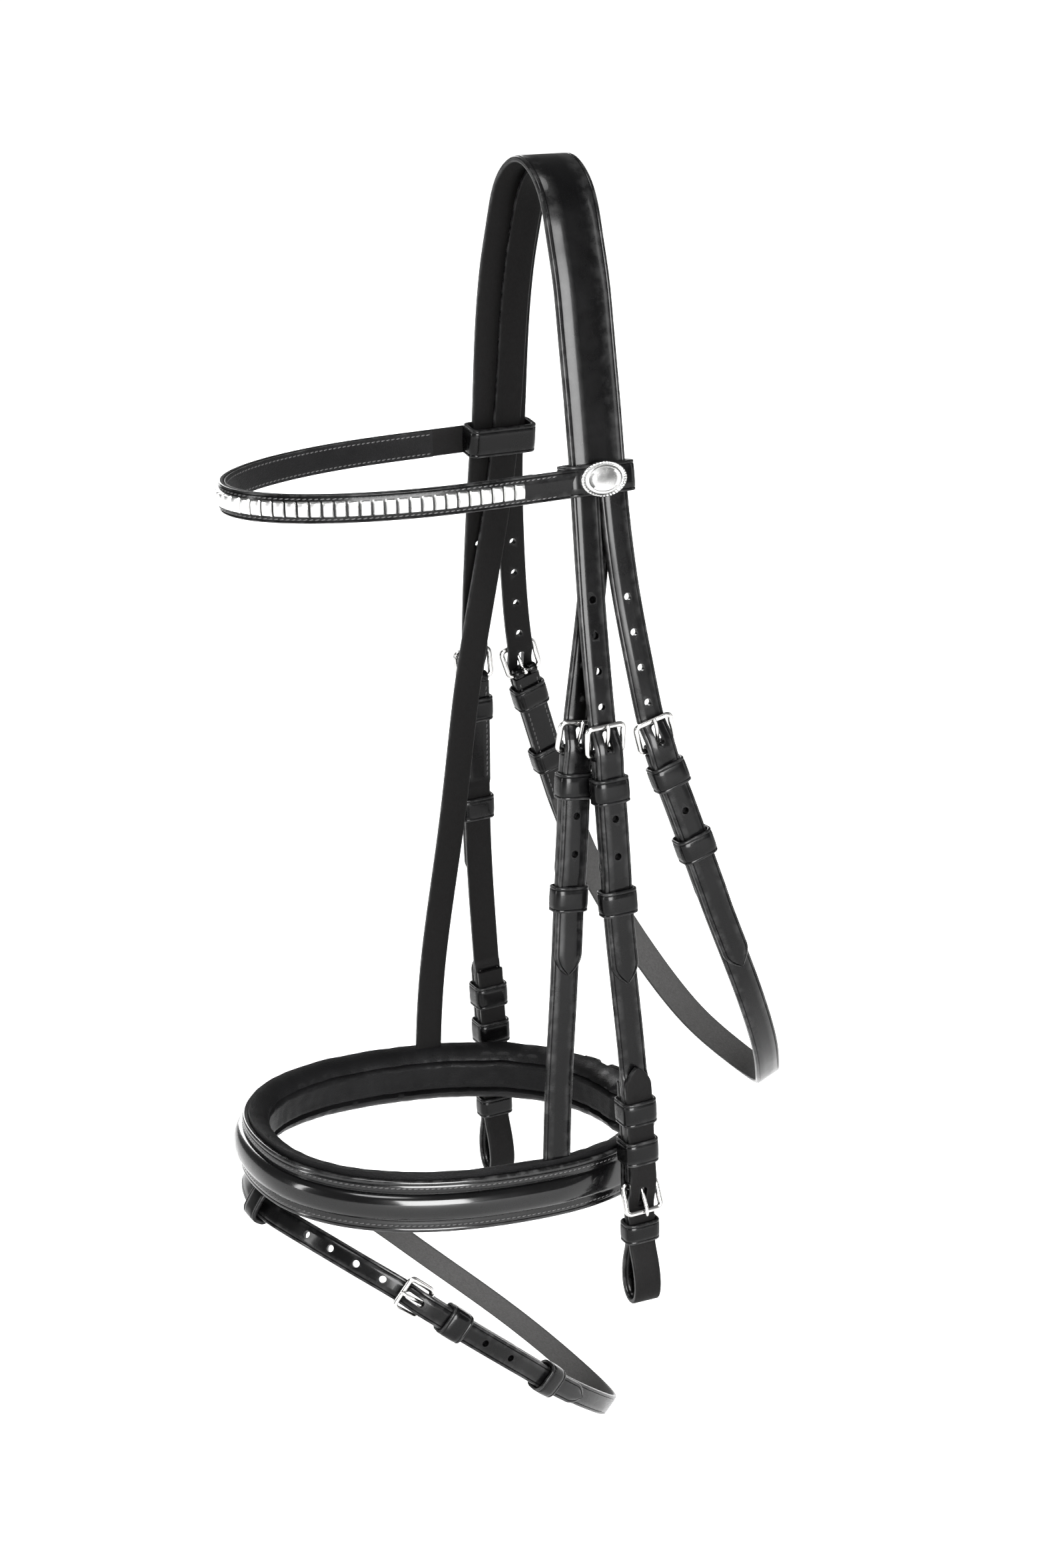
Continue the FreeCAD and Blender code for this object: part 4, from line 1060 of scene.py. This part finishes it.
def make_bit_billets():
    route = bit_route()
    tip = route.length
    wide = tip_width(tip, STRAP_WIDTH)
    thick = STRAP_THICK - 0.2
    piece = strap(route, 0, tip, wide, thick, extra=tip_spots(tip), step=2.2, seed=83)
    oval = cheek_route.distance_at(BIT_BUCKLE_Z) + OVAL_OFFSET
    cutter = hole_cutter(cheek_route, oval, 8.2, OVAL_WIDTH / 2, OVAL_LENGTH - OVAL_WIDTH + 2, 8.0)
    body = "{}_cheekpiece"
    pair(piece, "bit_billet_leather", BLACK, "bit_billet", body, [cutter])
    thread = sewn(route, 4, 40, STRAP_WIDTH / 2 - SEAM_INSET, thick / 2)
    pair(thread, "bit_billet_thread", THREAD, None, body)
    stack = PLY_THICK + LAYER_GAP + STRAP_THICK
    places = [cheek_route.distance_at(z) for z in BIT_KEEPER_Z]
    spots = [(d, stack, KEEPER_HEIGHT, 20.0 + i * 7) for i, d in enumerate(places)]
    sleeves = sleeve_stack(cheek_route, STRAP_WIDTH, -stack, spots)
    pair(sleeves, "bit_keepers_leather", BLACK, "bit_keepers", body)
    runner = keeper_piece(STRAP_WIDTH, -BIT_RUNNER_HALF, BIT_RUNNER_HALF, height=BIT_RUNNER_HEIGHT,
                          clear=RUNNER_CLEAR, seed=41)
    runner = moved(runner, cheek_route, cheek_route.distance_at(BIT_RUNNER_Z))
    pair(runner, "bit_runner_leather", BLACK, "bit_runner", "{}_bit_runner")


def make_throatlash():
    route = throat_half
    body_name = "throatlash"
    buckle = route.distance_at(BUCKLE_Z)
    end = throat_route.length - buckle
    thick, spots, plies = doubled_thick(buckle + THROAT_CHAPE, end - THROAT_CHAPE, STRAP_THICK)
    body = strap(throat_route, buckle + BODY_SETBACK, end - BODY_SETBACK, STRAP_WIDTH, thick, extra=spots,
                 plies=plies, seed=97)
    eye = moved(eye_piece(STRAP_WIDTH), route, buckle)
    body.join(eye).join(eye.mirrored())
    finish_piece(body, "throatlash_leather", RAW, ["throatlash"], body_name)
    row = sewn(route, buckle + 5, buckle + THROAT_CHAPE - 2, STRAP_WIDTH / 2 - SEAM_INSET,
               PLY_THICK + SEAM_PROUD, (-1, 1))
    finish_piece(row.join(row.mirrored()), "throatlash_thread", THREAD, [], body_name)
    lift = billet_lift(buckle, route.distance_at(THROAT_TIP_Z), THROAT_CHAPE)
    first, second = [route.distance_at(z) for z in THROAT_KEEPER_Z]
    half = STRAP_THICK / 2
    fixed = keeper_piece(STRAP_WIDTH, -PLY_THICK, lift(first) + half, seed=29)
    runner = keeper_piece(STRAP_WIDTH, -PLY_THICK, lift(second) + half, clear=RUNNER_CLEAR, seed=31)
    pair(moved(fixed, route, first), "throat_keeper_leather", BLACK, "throat_keeper", body_name)
    pair(moved(runner, route, second), "throat_runner_leather", BLACK, "throat_runner", "{}_throat_runner")
    add_buckle("throat", route, buckle, (body_name, "{}_throat_tongue"), both=True)


def clincher_piece(seed):
    """Bent bar of bright metal, crowned both ways, with its ends turned down into the leather."""
    w, h, t = CLINCHER_SIZE
    rows = 9
    columns = 13
    points = []
    for i in range(rows):
        v = -1 + 2 * i / (rows - 1)
        for j in range(columns):
            u = -1 + 2 * j / (columns - 1)
            crown = t * (1 - 0.24 * v * v - 0.45 * abs(u) ** 3.0)
            soft = 0.35 * (abs(u) ** 12 + abs(v) ** 12)
            points.append((u * h / 2, v * w / 2, 0.0 if max(abs(u), abs(v)) > 0.999 else crown - soft))
    faces = []
    for i in range(rows - 1):
        for j in range(columns - 1):
            a = i * columns + j
            faces.append((a, a + 1, a + columns + 1, a + columns))
    return Piece().add(points, faces, np.array(points) + np.array([seed, seed * 0.5, 0]))


def plate_piece():
    """Plain oval plate with a raised rim and a low dome."""
    a, b = PLATE_RADII
    levels = [(1.0, 0.0), (1.0, 0.9), (0.985, 1.35), (0.95, 1.65), (0.90, 1.62), (0.865, 1.3), (0.84, 0.95),
              (0.80, 0.9), (0.72, 1.1), (0.69, 1.3), (0.66, 1.1), (0.5, 1.35), (0.3, 1.6), (0.12, 1.68)]
    count = 160
    points = []
    for f, z in levels:
        rope = 0.16 if 0.86 < f < 0.99 and z > 1 else 0.0
        for k in range(count):
            s = 2 * math.pi * k / count
            twist = rope * math.cos(40 * s + 9 * f)
            points.append((a * f * math.cos(s), b * f * math.sin(s), (z + twist) * PLATE_THICK / 2.0))
    return Piece().add(points, ring_faces(len(levels), count))


def make_browband():
    route = brow_route
    body_name = "browband"
    spot, along, across, outward = leg_half.at(leg_half.distance_at(LOOP_Z))
    slip_spot = slip_half.at(slip_half.distance_at(LOOP_Z))[0]
    centre = np.array([spot[0], LOOP_CENTRE_Y, LOOP_Z])
    low = -(spot - slip_spot).dot(outward) - SLIP_THICK / 2
    high = HEAD_THICK / 2
    loop = keeper_piece(HEAD_WIDTH, low, high, LOOP_WALL, LOOP_HEIGHT, LOOP_CLEAR, seed=77)
    loop = turned(loop, centre, across, -along, outward)
    start = BROW_INSET - 3.5
    body = strap(route, start, route.length - start, BROW_HEIGHT, BROW_THICK, crease=1.2, step=2.6, seed=7)
    body.join(loop).join(loop.mirrored())
    finish_piece(body, "browband_leather", BLACK, ["browband"], body_name)
    inside = -(BROW_THICK / 2 + BROW_LINING / 2 + 0.05)
    end = route.length - LINING_MARGIN
    lining = strap(route, LINING_MARGIN, end, BROW_HEIGHT - 0.4, BROW_LINING, lambda d: inside, step=2.6,
                   seed=19)
    lining.chunks = [(*values, flesh * 0) for *values, flesh in lining.chunks]
    finish_piece(lining, "browband_lining_leather", SOFT, ["browband_lining"], body_name)
    count = int((end - LINING_MARGIN - 8) / CLINCHER_PITCH)
    first = (route.length - (count - 1) * CLINCHER_PITCH) / 2
    bars = Piece()
    for i in range(count):
        bars.join(moved(clincher_piece(i * 3.1), route, first + i * CLINCHER_PITCH, BROW_THICK / 2 + 0.02))
    finish_piece(bars, "browband_clincher_bars", BRIGHT, ["browband_clinchers"], body_name, sharp=35)
    half = BROW_HEIGHT / 2 - BROW_SEAM_INSET
    thread = sewn(route, LINING_MARGIN - 12, end + 12, half, BROW_THICK / 2 + 0.08, pitch=BAND_PITCH)
    within = BROW_LINING / 2 + 0.02 - inside
    thread.join(sewn(route, LINING_MARGIN + 1, end - 1, half, within, (-1,), BAND_PITCH))
    finish_piece(thread, "browband_thread", THREAD, [], body_name)
    plate = turned(plate_piece(), centre + outward * (high + LOOP_CLEAR + LOOP_WALL), across, -along, outward)
    finish_piece(plate, "browband_oval_plate", PLATED, ["browband_plate"], body_name, sharp=40)


def nose_section(distance, length):
    """Noseband leather: flat edges, sewn lines, and a raised roll that dies out towards both ends."""
    half = NOSE_HEIGHT / 2
    flat = NOSE_THICK / 2
    end = min(distance - 150, length - 62 - distance)
    rise = NOSE_ROLL_RISE * ramp(end, [(0.0, 0.0), (46.0, 1.0)])
    roll = NOSE_ROLL_WIDTH / 2
    # Third value: rubbed wear and painted highlight on the edges.
    top = [(half, -flat * 0.4, 1.0), (half, flat * 0.35, 1.0), (half - 0.3, flat * 0.8, 1.0),
           (half - 0.95, flat, 0.6), (half - 2.0, flat, 0.1), (half - 2.35, flat - 0.24, 0.0),
           (half - 2.7, flat, 0.1), (half - 4.2, flat, 0.0), (roll + 1.5, flat - 0.02, 0.0),
           (roll + 0.75, flat - 0.28, 0.0)]
    top += [(roll * math.cos(a) ** 0.8, flat - 0.2 + (rise + 0.3) * math.sin(a), 0.0)
            for a in (0.0, 0.25, 0.55, 0.9, 1.25)]
    section = top + [(0.0, flat + 0.1 + rise, 0.0)] + [(-a, n, w) for a, n, w in top[::-1]]
    return section + [(-half + 0.6, -flat, 0.4), (-half * 0.4, -flat, 0.0), (half * 0.4, -flat, 0.0),
                      (half - 0.6, -flat, 0.4)]


def pad_section(distance, length):
    """Soft lining: puffed between its sewn channels, full along its top and bottom edges."""
    points = []
    middle = 1.0
    half = PAD_HEIGHT / 2
    ripple = 0.7 * noise.noise(Vector((distance * 0.045, 3.1, 0.0)))
    ripple += 0.35 * noise.noise(Vector((distance * 0.12, 7.7, 0.0)))
    taper = min(1.0, 0.35 + 0.65 * math.sqrt(max(0.0, min(distance, length - distance) / 9.0)))
    depth = (PAD_INNER - PAD_OUTER) * taper
    count = 30
    for k in range(count + 1):
        s = math.cos(math.pi * k / count)
        body = depth * max(0.0, 1 - abs(s) ** 3.4) ** 0.5 - 1.3 * math.exp(-((s / 0.4) ** 6))
        pucker = 0.25 * math.sin(distance * 1.05 + 2.0 * s)
        groove = sum(math.exp(-(((s - g) / 0.05) ** 2)) for g in (0.48, -0.48))
        wrinkle = 0.5 * noise.noise(Vector((distance * 0.16, s * 2.2, 1.0))) * (1 - 0.5 * groove)
        n = PAD_OUTER + max(0.0, body - (3.4 + pucker) * groove * taper + wrinkle * min(1.0, body))
        a = middle + half * s + (ripple if s > 0.4 else 0.4 * ripple)
        points.append((a, -n, 0.0))
    return points + [(middle + half * s, -PAD_OUTER, 0.0) for s in (-0.6, 0.0, 0.6)]


def section_loft(route, start, end, section, step, seed):
    """A piece whose section (across, outward, wear and painted highlight) is a function of the distance."""
    spots = spots_between(start, end, step)
    rows = []
    for d in spots:
        point, _, across, outward = route.at(d)
        profile = section(d)
        rows += [(point + across * a + outward * n, (a + seed, d, n), worn_and_highlight, 0.0) for a, n, worn_and_highlight in profile]
    return skin(rows, ring_faces(len(spots), len(profile)))


def make_noseband():
    body_name = "noseband"
    length = nose_route.length
    leather = section_loft(nose_route, 0, length, lambda d: nose_section(d, length), 2.4, 5)
    finish_piece(leather, "noseband_leather", GLOSS, ["noseband"], body_name)
    start = 4.0
    padding = lambda d: pad_section(d - start, length - 2 * start)
    pad = section_loft(nose_route, start, length - start, padding, 1.8, 13)
    made = finish_piece(pad, "noseband_padding_leather", SOFT, ["noseband_padding"], body_name, sharp=80)
    half = NOSE_HEIGHT / 2 - NOSE_SEAM_INSET
    thread = sewn(nose_route, 3, length - 3, half, NOSE_THICK / 2, pitch=NOSE_PITCH)
    finish_piece(thread, "noseband_thread", THREAD, [], body_name)


def make_hanger():
    """Near hanger of the noseband, with its buckle and its two sewn keepers."""
    body_name = "noseband"
    route = slip_half
    buckle = route.distance_at(BUCKLE_Z)
    body, seam = chape(route, buckle, route.distance_at(HANGER_END_Z), seed=43)
    finish_piece(body, "near_hanger_leather", BLACK, ["near_hanger"], body_name)
    finish_piece(seam, "near_hanger_thread", THREAD, [], body_name)
    add_buckle("hanger", route, buckle, (body_name, "hanger_tongue"))
    lift = billet_lift(buckle, route.distance_at(SLIP_TIP_Z))
    places = [route.distance_at(z) for z in HANGER_KEEPER_Z]
    spots = [(d, lift(d) + STRAP_THICK / 2, KEEPER_HEIGHT, 61.0 + i * 5) for i, d in enumerate(places)]
    sleeves = sleeve_stack(route, STRAP_WIDTH, -PLY_THICK, spots)
    finish_piece(sleeves, "hanger_keepers_leather", BLACK, ["hanger_keepers"], body_name)


def jaw_line():
    """Middle line of the jaw strap: inside the noseband's near end, then out to lie over its off end."""
    up = np.array([0, -NOSE_TILT, 1])
    points = []
    for angle in range(138, 235, 3):
        here, ahead = [np.array(nose_point(math.radians(a))) for a in (angle, angle + 1)]
        lift = ramp(angle, [(161, -JAW_INSIDE), (173, 3.4), (181, JAW_OUTSIDE)])
        points.append(tuple(here + np.cross(unit(ahead - here), unit(up)) * lift))
    return Route(points, up)


def make_jaw():
    body_name = "noseband"
    route = jaw_line()
    buckle = route.distance_at(nose_point(math.radians(JAW_BUCKLE_DEG))[0], 0)
    tip = buckle + JAW_TIP
    lift = billet_lift(buckle, tip, JAW_CHAPE)
    holes = [buckle - OVAL_OFFSET - HOLE_PITCH, buckle + 24]
    wide = tip_width(tip, JAW_WIDTH)
    piece = strap(route, 0, tip, wide, JAW_THICK, lift, billet_spots(buckle, tip), seed=71)
    finish_piece(piece, "jaw_strap_leather", PLAIN, ["jaw_strap"], body_name,
                 billet_cutters(route, buckle, lift, holes))
    body, seam = chape(route, buckle, buckle + JAW_CHAPE, JAW_WIDTH, JAW_CHAPE, seed=59)
    finish_piece(body, "jaw_chape_leather", BLACK, ["jaw_chape"], body_name)
    finish_piece(seam, "jaw_chape_thread", THREAD, [], body_name)
    add_buckle("jaw", route, buckle, (body_name, "jaw_tongue"), JAW_WIDTH)
    spots = [(buckle + d, lift(buckle + d) + JAW_THICK / 2, JAW_KEEPER_HEIGHT, d) for d in JAW_KEEPERS]
    sleeves = sleeve_stack(route, JAW_WIDTH, -PLY_THICK, spots)
    finish_piece(sleeves, "jaw_keepers_leather", BLACK, ["jaw_keepers"], body_name)


def make_flash():
    body_name = "flash"
    route = flash_route
    lead = Route(flash_lead + FLASH[:2], FLASH_ACROSS).length / 2
    buckle = lead + FLASH_BUCKLE
    tip = lead + FLASH_TIP
    lift = billet_lift(buckle, tip)
    wide = tip_width(tip, FLASH_WIDTH)
    billet = strap(route, lead, tip, wide, FLASH_THICK, lift, billet_spots(buckle, tip), seed=89)
    body, seam = chape(route, buckle, route.length - lead, FLASH_WIDTH, single=FLASH_THICK, seed=91)
    finish_piece(billet, "flash_billet_leather", RAW, ["flash_strap"], body_name,
                 billet_cutters(route, buckle, lift, [lead + d for d in FLASH_HOLES]))
    finish_piece(body, "flash_strap_leather", RAW, [], body_name)
    finish_piece(seam, "flash_strap_thread", THREAD, [], body_name)
    add_buckle("flash", route, buckle, (body_name, "flash_tongue"), FLASH_WIDTH)
    first, second = [lead + d for d in FLASH_KEEPERS]
    half = FLASH_THICK / 2
    fixed = keeper_piece(FLASH_WIDTH, -PLY_THICK, lift(first) + half, seed=15)
    runner = keeper_piece(FLASH_WIDTH, -STRAP_THICK / 2, lift(second) + half, clear=RUNNER_CLEAR, seed=17)
    runner = moved(runner, route, second)
    finish_piece(moved(fixed, route, first), "flash_keeper_leather", BLACK, ["flash_keeper"], body_name)
    finish_piece(runner, "flash_runner_leather", BLACK, ["flash_runner"], "flash_runner")


def make_flash_loop():
    """Leather loop under the front of the noseband. The flash strap has room to swing in it."""
    turn = math.radians(FLASH_LIFT_DEG / 2)
    _, y, z = unit(np.array(FLASH_ACROSS))
    across = np.array([0, y * math.cos(turn) - z * math.sin(turn), y * math.sin(turn) + z * math.cos(turn)])
    slack = FLASH_WIDTH / 2 * math.sin(turn) + FLASH_THICK / 2 + 0.6
    loop = keeper_piece(FLASH_WIDTH + 0.6, -slack, slack, FLASH_LOOP_WALL, FLASH_LOOP_WIDTH, 0.45, seed=33)
    pivot = np.array(FLASH[0], float)
    loop = turned(loop, pivot, across, -X_AXIS, np.cross(X_AXIS, across))
    inside = nose_point(0)[1] + NOSE_THICK / 2 + 0.4 + FLASH_LOOP_WALL / 2
    tab_line = Route([(0, inside, pivot[2] + up) for up in FLASH_TAB_HEIGHTS], (1, 0, 0))
    loop.join(strap(tab_line, 0, tab_line.length, FLASH_LOOP_WIDTH, FLASH_LOOP_WALL, seed=47))
    finish_piece(loop, "flash_loop_leather", BLACK, ["flash_loop"], "noseband")


# Studio


FLOOR_HALF_SIZE = 40.0
FLOOR_DROP = 0.05
WORLD_STRENGTH = 0.34
SUN_STRENGTH = 2.6
SUN_ANGLE_DEG = 24
SUN_DIRECTION = (-0.25, 0.2, -1)
CAMERA_LENS = 68.9
CAMERA_SENSOR = 36.0
CAMERA_PLACE = (1.3752, -0.6857, 0.1775)
CAMERA_AIM = (0, -0.012, -0.326)

# Soft boxes: name, place, aim height, size, power
SOFT_BOXES = (
    ("key", (5.9, -0.72, 1.25), -0.4, (3.4, 3.9), 1900),
    ("left_strip", (-0.4, -5.5, 1.2), -0.35, (0.7, 3.6), 230),
    ("right_strip", (2.0, 5.2, 1.2), -0.35, (0.7, 3.6), 70),
    ("off_strip", (-5.4, 0.4, 1.3), -0.35, (1.3, 3.6), 260),
)


def add_object(name, data, place=(0, 0, 0), direction=None):
    """Links an object to the scene, with its -Z axis along a direction."""
    made = bpy.data.objects.new(name, data)
    made.location = place
    if direction:
        made.rotation_euler = Vector(direction).to_track_quat("-Z", "Y").to_euler()
    bpy.context.scene.collection.objects.link(made)
    return made


def aimed(name, data, place, aim):
    return add_object(name, data, place, tuple(Vector(aim) - Vector(place)))


def make_floor():
    size = FLOOR_HALF_SIZE
    z = cad_box[0][2] - FLOOR_DROP
    mesh = bpy.data.meshes.new("floor")
    corners = [(-size, -size, z), (size, -size, z), (size, size, z), (-size, size, z)]
    mesh.from_pydata(corners, [], [(0, 1, 2, 3)])
    floor = add_object("floor", mesh)
    material, tree, shader = node_tree("pale_floor")
    n = Nodes(tree)
    place = n.new("ShaderNodeTexCoord").outputs["Object"]
    tint = n.mix_colour(n.noise(place, 1.5), (0.90, 0.90, 0.90, 1), (0.93, 0.93, 0.93, 1))
    tree.links.new(tint, shader.inputs["Base Color"])
    shader.inputs["Roughness"].default_value = 0.9
    mesh.materials.append(material)


def make_studio():
    make_floor()
    world = bpy.data.worlds.new("studio")
    world.use_nodes = True
    background = world.node_tree.nodes["Background"]
    background.inputs["Color"].default_value = (1, 1, 1, 1)
    background.inputs["Strength"].default_value = WORLD_STRENGTH
    bpy.context.scene.world = world
    for name, place, aim_z, size, power in SOFT_BOXES:
        light = bpy.data.lights.new(name, "AREA")
        light.shape = "RECTANGLE"
        light.size, light.size_y = size
        light.energy = power
        aimed(name, light, place, (0, 0, aim_z))
    sun = bpy.data.lights.new("overhead", "SUN")
    sun.energy = SUN_STRENGTH
    sun.angle = math.radians(SUN_ANGLE_DEG)
    add_object("overhead", sun, direction=SUN_DIRECTION)
    camera = bpy.data.cameras.new("camera")
    camera.sensor_fit = "VERTICAL"
    camera.sensor_height = CAMERA_SENSOR
    camera.lens = CAMERA_LENS
    camera.clip_end = 200.0
    bpy.context.scene.camera = aimed("camera", camera, CAMERA_PLACE, CAMERA_AIM)
    bpy.context.scene.view_settings.view_transform = "Standard"


make_crown()
make_billet("cheek", cheek_route, CHEEK_TIP_Z, CHAPE_LENGTH, hole_row(CHEEK_HOLE_Z, SPARE_HOLE_Z),
            "{}_cheekpiece", 23)
make_billet("throat", throat_half, THROAT_TIP_Z, THROAT_CHAPE, hole_row(THROAT_HOLE_Z, THROAT_SPARE_HOLE_Z),
            "throatlash", 37)
make_sliphead()
make_cheekpieces()
make_bit_billets()
make_throatlash()
make_browband()
make_noseband()
make_hanger()
make_jaw()
make_flash()
make_flash_loop()
make_studio()
